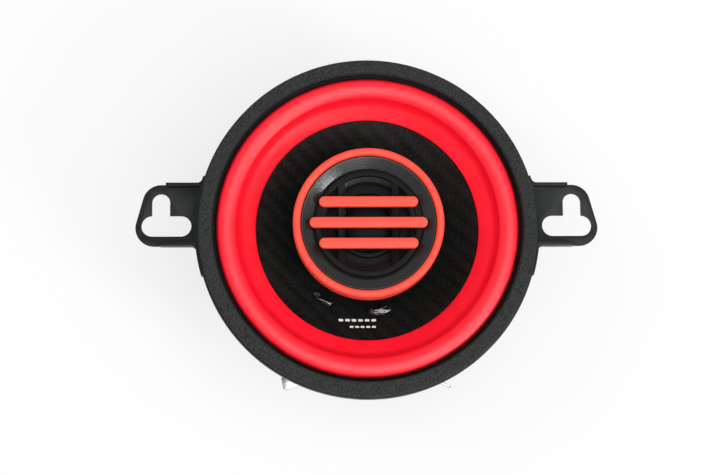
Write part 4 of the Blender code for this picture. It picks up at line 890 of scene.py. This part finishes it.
# %% Helper for parts that stretch
def stretch_between(piece, moving, still_radius, moving_radius, node):
    """The piece follows the chassis at one radius and the moving body at the other."""
    start, end = (still_radius, 0.0, 0.0), (moving_radius, 0.0, 0.0)
    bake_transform(piece, "chassis", moving, start=start, end=end)
    weights = piece.data.attributes["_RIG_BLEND"]
    for i, vert in enumerate(piece.data.vertices):
        t = (vert.co.xy.length - still_radius) / (moving_radius - still_radius)
        t = min(1.0, max(0.0, t))
        weights.data[i].value = t * t * (3 - 2 * t)
    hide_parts(node)
    print(piece.name, len(piece.data.vertices), "points, still at", still_radius, "m from the axis")


# %% [markdown]
# ## Surround
# The surround is a half roll with a flat land under the gasket and a band that laps over the
# cone's edge. In the valley between band and roll the rubber turns sharply, and that line of shade
# is what makes the roll read as a roll, so the valley gets its own small curve.

# %% Surround
ROLL_INNER = 34.2 * MM
ROLL_OUTER = 40.4 * MM
ROLL_HALF, ROLL_HEIGHT = 3.1 * MM, 2.4 * MM
RUBBER = 0.5 * MM
land = rim_top + 0.6 * MM
rise = (RUBBER + 0.1 * MM) / cos(cone_slope(LAP_RADIUS))
valley = cone_front(ROLL_INNER) + rise
surround_face = []
band_end = ROLL_INNER - 1.0 * MM
for i in range(7):
    radius = LAP_RADIUS + (band_end - LAP_RADIUS) * i / 6
    surround_face.append((radius, cone_front(radius) + rise + 0.02 * MM))
roll = []
roll_centre = ((ROLL_INNER + ROLL_OUTER) / 2, 0.0)
for radius, height in arc(roll_centre, ROLL_HALF, radians(138), 0.0, 26, ROLL_HEIGHT):
    share = (radius - ROLL_INNER) / (ROLL_OUTER - ROLL_INNER)
    roll.append((radius, height + valley + (land - valley) * share))
valley_curve = (Vector(surround_face[-1]), Vector((ROLL_INNER, valley)), Vector(roll[0]))
for i in range(1, 8):
    t = i / 8
    start, corner, end = valley_curve
    surround_face.append(tuple(start * (1 - t) ** 2 + corner * 2 * t * (1 - t) + end * t**2))
surround_face += roll
surround_face.append((rim_radius - 1.0 * MM, land))
rubber_outline = sheet_outline(surround_face, RUBBER)
surround = turned("rubber_surround", rubber_outline, RED_RUBBER, 0.1 * MM, 216, 2, 60.0)
stretch_between(surround, "cone", ROLL_OUTER, ROLL_INNER, "surround")

# %% [markdown]
# ### Cement bead, partly painted shade
# The surround's land and the gasket are stuck down with black cement. A black fillet of it fills
# the corner at the foot of the roll, where the groove lies in shade, so the bead is partly cement and
# partly a dark piece put there for that shade, and a dark line runs all round the red. It could be
# painted on, but a real fillet also catches the light, so it is a small section turned like the rest,
# with a height that wanders a little.

# %% Cement bead, also a dark piece for the groove's shade
CEMENT_INNER = ROLL_OUTER + 0.02 * MM
cement_outer = gasket_inner - 0.02 * MM
cement = [(CEMENT_INNER, land + 0.02 * MM), (cement_outer, land + 0.02 * MM), (cement_outer, land + 0.9 * MM)]
cement += [(gasket_inner - 0.25 * MM, land + 0.55 * MM), (CEMENT_INNER + 0.08 * MM, land + 0.25 * MM)]
cement_mesh = bmesh.new()
turn_outline(cement_mesh, eased(cement, 0.1 * MM), 240)
for vert in cement_mesh.verts:
    if vert.co.z > land + 0.1 * MM:
        vert.co.z += 0.12 * MM * noise.noise(vert.co / (4.0 * MM))
# a dark bead of cement that also stands in for the shade in the groove at the roll's foot
cement_and_shade_bead = piece_from("cement_and_shade_bead", cement_mesh, CEMENT_AND_SHADE, 80.0)
settle(cement_and_shade_bead, "chassis", "black_glue")

# %% [markdown]
# ## Spider
# The spider is a disc of resin-dipped cotton, pressed into rings of corrugations. It holds the coil
# in the middle of its gap while it lets it move. The rings could be drawn one by one, but a sine
# along the radius draws them all at once and they stay even.

# %% Spider
CLOTH = 0.4 * MM
spider_z = ledge_top + 0.1 * MM + CLOTH
FIRST_WAVE, LAST_WAVE = 11.8 * MM, 24.0 * MM
WAVES, SWING = 4, 0.68 * MM
spider_face = [(NECK_RADIUS, spider_z)]
for i in range(65):
    share = i / 64
    swing = SWING * sin(2 * pi * WAVES * share)
    spider_face.append((FIRST_WAVE + (LAST_WAVE - FIRST_WAVE) * share, spider_z + swing))
spider_face.append((radius_of("spider"), spider_z))
spider = turned("cotton_spider", sheet_outline(spider_face, CLOTH), SPIDER_CLOTH, 0.0, 120, sharp=60.0)
stretch_between(spider, "cone", LAST_WAVE, FIRST_WAVE, "spider")

# %% [markdown]
# ## Motor
# The magnet ring is clamped between two steel plates, and the back plate carries the pole that
# stands in the coil. They are plain turned pieces, and the small curve on each edge is the part
# that shows: the plates are stamped, so their edges are rounder than the magnet's ground ones.

# %% Back plate, magnet and top plate
pole_top = top_of("back_plate_with_pole")
plate_top = bottom_of("magnet_ring") - 0.1 * MM
back_radius = radius_of("back_plate_with_pole")
POLE_RADIUS = 9.5 * MM
SCREW_BORE = 1.8 * MM
RECESS, RECESS_TOP = 4.3 * MM, 3.2 * MM
BREAK = 0.6 * MM
yoke = [(SCREW_BORE, pole_top), (POLE_RADIUS - BREAK / 2, pole_top), (POLE_RADIUS, pole_top - BREAK / 2)]
yoke += [(POLE_RADIUS, plate_top), (back_radius - BREAK, plate_top), (back_radius, plate_top - BREAK)]
yoke += [(back_radius, BREAK), (back_radius - BREAK, 0.0)]
yoke += [(RECESS, 0.0), (RECESS, RECESS_TOP), (SCREW_BORE, RECESS_TOP)]
settle(turned("pole_and_back_plate", yoke, ZINC, 0.4 * MM), "chassis", "plated_steel", "back_plate_with_pole")


def washer_outline(node, bore):
    """Section of a ring with broken outer edges that fills a node's place."""
    outer = radius_of(node)
    low, high = ends_of(node)
    edge = [(outer - BREAK, high), (outer, high - BREAK), (outer, low + BREAK), (outer - BREAK, low)]
    return [(bore, high), *edge, (bore, low)]


magnet = turned("ferrite_ring", washer_outline("magnet_ring", 15.5 * MM), FERRITE, 0.15 * MM)
settle(magnet, "chassis", "ferrite", "magnet_ring")
front_plate = turned("front_plate", washer_outline("top_plate", 11.0 * MM), ZINC, 0.4 * MM)
low, high = ends_of("top_plate")
holes = bmesh.new()
for place in MOTOR_RIVETS:
    round_hole(holes, place, MOTOR_RIVET_HOLE, low - MM, high + MM)
carve(front_plate, holes, "DIFFERENCE")
settle(front_plate, "chassis", "plated_steel", "top_plate")

# %% [markdown]
# ## Rivets
# Four rivets hold the basket to the motor, two hold the board under the ledge, and one holds each
# terminal. All have a domed head on a straight shank, so one helper makes them at any size. A copy
# of one mesh, scaled, would be quicker still, but its head and its shank would scale together.


# %% Rivets
def rivet(node, finish, slot, shank, head, dome, flat_at, tail, way=1):
    """A domed rivet: its head seats at a height, its shank ends at another, way is 1 for upwards."""
    middle = (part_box(node)[0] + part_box(node)[1]) / 2
    outline = [(0.0, flat_at + way * dome)]
    for radius, height in arc((0.0, 0.0), head, radians(80), radians(8), 6, dome):
        outline.append((radius, flat_at + way * height))
    outline += [(head, flat_at), (shank, flat_at), (shank, tail), (0.0, tail)]
    bm = bmesh.new()
    turn_outline(bm, outline, 40, (middle.x, middle.y))
    settle(piece_from(f"{node}_domed", bm, finish), "chassis", slot, node)


STEEL_RIVET = 1.2 * MM, 1.9 * MM, 0.8 * MM
BRASS_RIVET = 0.9 * MM, 1.4 * MM, 0.6 * MM
for i in range(1, 5):
    node = f"motor_rivet_{i}"
    rivet(node, ZINC, "plated_steel", *STEEL_RIVET, basket_floor + 0.1 * MM, bottom_of(node))
for side in ("left", "right"):
    node = f"board_rivet_{side}"
    rivet(node, BRASS, "brass", *BRASS_RIVET, bottom_of("terminal_board") - 0.1 * MM, top_of(node), -1)
for sign in ("positive", "negative"):
    node = f"{sign}_terminal_rivet"
    rivet(node, BRASS, "brass", *BRASS_RIVET, top_of(node) - BRASS_RIVET[2], bottom_of(node))

# %% [markdown]
# ## Post, washer and screw
# A turned brass post carries the tweeter in front of the cone without touching it. A screw comes up
# through the pole from behind; its head sits with a washer in a recess, so the speaker stands flat.
# All three are turned outlines, and only the screw's cross is cut afterwards, with two bars.

# %% Post and its screw
post_low, spigot_top = ends_of("tweeter_post")
shoulder = bottom_of("tweeter_housing") - 0.1 * MM
grip_top = pole_top + 7.3 * MM
POST, SPIGOT, THREAD = 4.5 * MM, 3.0 * MM, 1.65 * MM
GROOVE = 0.25 * MM
post = [(0.0, spigot_top), (SPIGOT, spigot_top), (SPIGOT, shoulder), (POST, shoulder)]
for height in (shoulder - 2.0 * MM, post_low + 3.0 * MM):
    post += [(POST, height), (POST - GROOVE, height - GROOVE), (POST, height - 2 * GROOVE)]
post += [(POST, post_low), (THREAD, post_low), (THREAD, grip_top), (0.0, grip_top)]
settle(turned("turned_post", post, BRASS, 0.15 * MM, 64), "chassis", "brass", "tweeter_post")

washer_low, washer_high = ends_of("post_washer")
WASHER = 4.0 * MM
washer = [(SCREW_BORE, washer_high), (WASHER, washer_high), (WASHER, washer_low), (SCREW_BORE, washer_low)]
settle(turned("flat_washer", washer, ZINC, 0.15 * MM, 64), "chassis", "plated_steel", "post_washer")

screw_low, screw_high = ends_of("post_screw")
SHANK, HEAD, HEAD_HEIGHT = 1.5 * MM, 3.0 * MM, 2.0 * MM
head_top = screw_low + HEAD_HEIGHT
screw = [(0.0, screw_high), (SHANK, screw_high), (SHANK, head_top), (HEAD, head_top)]
screw += [(HEAD, screw_low + 0.8 * MM), (HEAD - 0.8 * MM, screw_low), (0.0, screw_low)]
screw_piece = turned("cross_screw", screw, ZINC, 0.4 * MM, 64)
for turn in (0.0, pi / 2):
    bar = bmesh.new()
    cross_way = Matrix.Rotation(turn, 4, "Z")
    raise_outline(bar, block(1.8 * MM, 0.4 * MM), screw_low - MM, screw_low + 1.2 * MM, cross_way)
    carve(screw_piece, bar, "DIFFERENCE")
break_edges(screw_piece, 0.08 * MM, 50.0)
settle(screw_piece, "chassis", "plated_steel", "post_screw")

# %% [markdown]
# ## Tweeter housing and dish
# The housing is a shallow cup with a flange, and the dish in front of it is a moulded plate that
# slopes down to the dome like a small horn and ends in a short straight throat. The dish is drawn
# as sheet from its front face, because the front is the side that shows. Two wires go into the
# housing through holes in its side, which are cut after it has been turned.

# %% Housing and dish
housing_low, housing_top = ends_of("tweeter_housing")
flange_radius = radius_of("tweeter_housing")
flange_low = housing_top - 1.1 * MM
hollow_low = housing_low + 1.2 * MM
POST_SEAT, HOUSING_BORE, HOUSING_WALL = 3.15 * MM, 13.4 * MM, 14.5 * MM
housing = [(POST_SEAT, housing_low), (HOUSING_WALL - MM, housing_low), (HOUSING_WALL, housing_low + MM)]
housing += [(HOUSING_WALL, flange_low), (flange_radius, flange_low), (flange_radius, housing_top)]
housing += [(HOUSING_BORE, housing_top), (HOUSING_BORE, hollow_low), (POST_SEAT, hollow_low)]
housing_piece = turned("tweeter_cup_housing", housing, PLAIN_BLACK, 0.25 * MM)
lead_hole_z = hollow_low + 2.5 * MM
wire_holes = bmesh.new()
for degrees in (258, 282):
    swing = Matrix.Rotation(radians(degrees), 4, "Z") @ Matrix.Translation((0, 0, lead_hole_z))
    hole = arc((0, 0), 0.8 * MM, 0.0, 2 * pi, 24)[:-1]
    raise_outline(wire_holes, hole, 12.5 * MM, 15.4 * MM, swing @ Matrix.Rotation(pi / 2, 4, "Y"))
carve(housing_piece, wire_holes, "DIFFERENCE")
settle(housing_piece, "chassis", "black_plastic", "tweeter_housing")

dish_high = top_of("tweeter_faceplate")
dish_low = dish_high - 3.6 * MM
throat_low = dish_low - 1.7 * MM
dish_radius = radius_of("tweeter_faceplate")
THROAT = 11.2 * MM


def dish_front(radius):
    """Height of the dish's front face."""
    return dish_low + (dish_high - dish_low) * (radius - THROAT) / (dish_radius - THROAT)


dish_face = [(THROAT, throat_low), (THROAT, dish_low)]
dish_face += [(dish_radius, dish_high), (dish_radius, housing_top + 0.1 * MM)]
dish = turned("tweeter_dish", sheet_outline(dish_face, MM), GRAINED_BLACK, 0.4 * MM, 192, 4, 50.0)
settle(dish, "chassis", "satin_black_plastic", "tweeter_faceplate")

# %% [markdown]
# ## Bezel
# The coral ring snaps over the housing's flange and hides the dish's edge. Its front is a full
# round, slightly flattened on top. A rectangle with a bevel would come close, but two quarter
# circles in the outline give an even curve, and so an even highlight.

# %% Bezel
bezel_outer = radius_of("tweeter_bezel")
bezel_inner = bezel_outer - 2.0 * MM
bezel_top = top_of("tweeter_bezel")
skirt_inner = flange_radius + 0.15 * MM
seat = housing_top + 0.1 * MM
ROUND = 0.9 * MM
bezel = [(bezel_inner, seat), (skirt_inner, seat), (skirt_inner, flange_low), (bezel_outer, flange_low)]
bezel += arc((bezel_outer - ROUND, bezel_top - ROUND), ROUND, 0.0, pi / 2, 8)
bezel += arc((bezel_inner + ROUND, bezel_top - ROUND), ROUND, pi / 2, pi, 8)
settle(turned("coral_bezel", bezel, CORAL, 0.15 * MM, 216), "chassis", "red_plastic", "tweeter_bezel")

# %% [markdown]
# ## Guard
# A low black ring with two ribs bridges the dish, and three coral bars with round ends lie across
# it, so that a finger can't reach the dome. The bars are flat strips, so each is a plan outline
# raised straight up, with a bevel that rounds its front edges.

# %% Guard ring and bars
guard_top = top_of("guard_frame")
GUARD_OUTER, GUARD_INNER = 14.2 * MM, 12.6 * MM
guard = [(GUARD_INNER, guard_top), (GUARD_OUTER, guard_top)]
guard += [(radius, dish_front(radius) + 0.1 * MM) for radius in (GUARD_OUTER, GUARD_INNER)]
guard_piece = turned("guard_ring", guard, PLAIN_BLACK, 0.3 * MM, 144)
ribs = bmesh.new()
RIB_X, RIB_HALF = 7.0 * MM, 0.9 * MM
reach = sqrt(((GUARD_OUTER + GUARD_INNER) / 2) ** 2 - RIB_X**2)
rib = [(RIB_X + x, y) for x, y in block(RIB_HALF, reach)]
mirrored(ribs, rib, guard_top - MM, guard_top - 0.05 * MM)
carve(guard_piece, ribs, "UNION")
settle(guard_piece, "chassis", "satin_black_plastic", "guard_frame")

for name in ("upper", "middle", "lower"):
    node = f"guard_bar_{name}"
    low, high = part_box(node)
    end = (high.y - low.y) / 2
    middle_y = (high.y + low.y) / 2
    strip = arc((high.x - end, middle_y), end, -pi / 2, pi / 2, 20)
    strip += arc((low.x + end, middle_y), end, pi / 2, 3 * pi / 2, 20)
    strip_mesh = bmesh.new()
    raise_outline(strip_mesh, strip, low.z, high.z)
    bar = piece_from(f"coral_bar_{name}", strip_mesh, CORAL)
    break_edges(bar, 0.4 * MM, 50.0, 4)
    settle(bar, "chassis", "red_plastic", node)

# %% [markdown]
# ## Dome
# Behind the guard is the tweeter's dome, a small cap of coated silk with a roll round it. Both are
# one arc of sheet, turned. The roll is clamped at its outer edge and moves with the dome at its
# inner edge, so it is blended, while the dome simply rides on its own body.

# %% Dome and its roll
SILK = 0.2 * MM
dome_base = bottom_of("tweeter_dome") + SILK
DOME_RADIUS, DOME_HEIGHT = 6.75 * MM, 1.9 * MM
dome_face = [(0.0, dome_base + DOME_HEIGHT)]
dome_face += arc((0.0, dome_base), DOME_RADIUS, radians(84), radians(10), 12, DOME_HEIGHT)
dome_face.append((DOME_RADIUS, dome_base))
dome_outline = sheet_outline(dome_face, SILK)
dome_outline[-1] = (0.0, dome_base + DOME_HEIGHT - SILK)
dome = turned("silk_dome", dome_outline, DOME_SILK, 0.05 * MM, 96)
settle(dome, "tweeter_diaphragm", "dome_silk", "tweeter_dome")

ROLL_IN, ROLL_OUT = 6.9 * MM, 8.8 * MM
roll_face = arc(((ROLL_IN + ROLL_OUT) / 2, dome_base), 0.95 * MM, pi, 0.0, 12, 0.7 * MM)
roll_face.append((radius_of("tweeter_dome_surround"), dome_base))
roll = turned("silk_roll", sheet_outline(roll_face, SILK), DOME_SILK, 0.0, 96, sharp=60.0)
stretch_between(roll, "tweeter_diaphragm", ROLL_OUT, ROLL_IN, "tweeter_dome_surround")

# %% [markdown]
# ## Terminals
# The board is punched from brown fibre. The wide positive blade lies flat on it, and the narrow
# negative one stands on edge. Their shapes are already right in the frame, so each is copied, its
# flat faces cleaned of stray edges, and its edges broken.

# %% Board and blades
refined("terminal_board", FIBRE, "fibre_board", 0.15 * MM)
refined("positive_terminal", TIN, "tinned_brass", 0.1 * MM)
refined("negative_terminal", TIN, "tinned_brass", 0.08 * MM)
refined("crossover_capacitor", CAPACITOR_CASE, "capacitor_case", 0.5 * MM)

# %% [markdown]
# ## Wires
# Thin copper wires come up the cone from the coil and meet the braided leads at two dabs of glue.
# From there one pair goes down through the windows to the terminals, and another goes to the
# tweeter. New curves could follow the same routes, but the frame's own wires are sure to fit their
# holes, so each is copied, and a subdivision makes it truly round.


# %% Leads
def rounded_copy(node, finish):
    """A smooth copy of a wire."""
    bm = bmesh.new()
    bm.from_mesh(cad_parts[node].data)
    bmesh.ops.remove_doubles(bm, verts=bm.verts[:], dist=1e-6)
    limit = radians(60)
    bmesh.ops.join_triangles(bm, faces=bm.faces[:], angle_face_threshold=limit, angle_shape_threshold=limit)
    piece = piece_from(f"{node}_round", bm, finish)
    modifier = piece.modifiers.new("round", "SUBSURF")
    modifier.levels = 2
    modifier.render_levels = 2
    apply_modifiers(piece)
    piece.data.shade_smooth()
    return piece


for side in ("left", "right"):
    settle(rounded_copy(f"coil_lead_{side}", COPPER), "cone", "copper_wire", f"coil_lead_{side}")
    braided = rounded_copy(f"tinsel_lead_{side}", BRAID)
    stretch_between(braided, "cone", 33.5 * MM, 22.5 * MM, f"tinsel_lead_{side}")
    thin = rounded_copy(f"tweeter_lead_{side}", WIRE_SKIN)
    stretch_between(thin, "cone", 15.3 * MM, 17.8 * MM, f"tweeter_lead_{side}")

# %% [markdown]
# ### Glue dabs and solder
# A dab of black glue holds each joint of the wires on the cone. Glue is dropped on by hand, so each
# dab is a low dome pushed out of shape by a smooth noise. Where a braided lead ends on the board it
# is soldered, and the solder is a small bright mound.


# %% Dabs
def mound(name, spot, tilt, half_length, half_width, height, finish, swell, seed):
    """A low lump, made uneven by swell, seated at a spot and turned by a matrix."""
    bm = bmesh.new()
    bmesh.ops.create_icosphere(bm, subdivisions=5, radius=1.0)
    for vert in bm.verts:
        shift = vert.co * 1.7 + Vector((seed, 2 * seed, 3 * seed))
        lumps = noise.noise(shift * 0.7) + noise.noise(shift * 1.9) / 5
        swollen = vert.co * (1 + swell * lumps)
        flat = 1.0 if swollen.z > 0 else 0.18
        vert.co = Vector((swollen.x * half_length, swollen.y * half_width, swollen.z * height * flat))
    bmesh.ops.transform(bm, matrix=Matrix.Translation(spot) @ tilt, verts=bm.verts[:])
    return piece_from(name, bm, finish, 80.0)


DAB_RADIUS = 21.25 * MM
dab_lean = Matrix.Rotation(cone_slope(DAB_RADIUS), 4, "X")
board_top = top_of("terminal_board")
for i, (side, degrees, foot_degrees) in enumerate((("left", 237.5, 251), ("right", 279.0, 289))):
    node = f"glue_dab_{side}"
    spot = polar(DAB_RADIUS, degrees, cone_front(DAB_RADIUS) + 0.35 * MM)
    tilt = Matrix.Rotation(radians(degrees - 90), 4, "Z") @ dab_lean
    dab = mound(f"{node}_uneven", spot, tilt, 2.9 * MM, 1.6 * MM, 1.1 * MM, GLUE, 0.3, 1.3 + 4.1 * i)
    settle(dab, "cone", "black_glue", node)
    spot = polar(34.4 * MM, foot_degrees, board_top + 0.1 * MM)
    turn = Matrix.Rotation(radians(foot_degrees), 4, "Z")
    solder = mound(f"solder_{side}", spot, turn, 1.5 * MM, 1.1 * MM, 1.1 * MM, TIN, 0.12, 7.7 + i)
    settle(solder, "chassis", "tinned_brass")

# %% [markdown]
# ## Print
# Two short rows of plain dashes are printed in white on the cone, below the tweeter. A mask in the
# cone's material could do it, but thin slips keep crisp edges in every view. Each one follows the
# cone's slope and is a few hundredths of a millimetre thick, like ink.

# %% Printed dashes
PRINT_ROWS = (  # middle y, height, start x and end x in millimetres, and the number of dashes
    (-24.0, 0.8, -8.0, 2.6, 6),
    (-25.9, 0.62, -5.0, 2.4, 5),
)
DASH_SHARE = 0.72
INK_THICKNESS = 0.03 * MM
print_mesh = bmesh.new()
for row_y, height, start, end, count in PRINT_ROWS:
    pitch = (end - start) / count
    outline = eased(block(pitch * DASH_SHARE / 2, height / 2), 0.3, 4)
    outline = [(x * MM, y * MM) for x, y in outline]
    for i in range(count):
        spot = Vector((start + pitch * (i + 0.5), row_y, 0.0)) * MM
        radius = spot.xy.length
        spot.z = cone_front(radius) + 0.01 * MM
        angle = atan2(spot.y, spot.x)
        lean = Matrix.Rotation(angle, 4, "Z") @ Matrix.Rotation(-cone_slope(radius), 4, "Y")
        lean = lean @ Matrix.Rotation(-angle, 4, "Z")
        raise_outline(print_mesh, outline, 0.0, INK_THICKNESS, Matrix.Translation(spot) @ lean)
dashes = piece_from("printed_dashes", print_mesh, INK)
settle(dashes, "cone", "carbon_paper")

# %% [markdown]
# ## Hidden pieces
# What is left of the frame sits inside the motor or the tweeter, where its shape is already right.
# It keeps its own mesh and only gets a proper finish.

# %% Finish the hidden pieces
HIDDEN = {
    "voice_coil_former": FILM,
    "voice_coil_winding": COPPER,
    "tweeter_coil_former": FILM,
    "tweeter_coil_winding": COPPER,
    "tweeter_cup": ZINC,
    "tweeter_magnet": ZINC,
    "tweeter_pole_washer": ZINC,
    "diaphragm_ring": PLAIN_BLACK,
}
for node, finish in HIDDEN.items():
    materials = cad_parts[node].data.materials
    materials.clear()
    materials.append(finish)
print("finished in place:", sorted(HIDDEN))
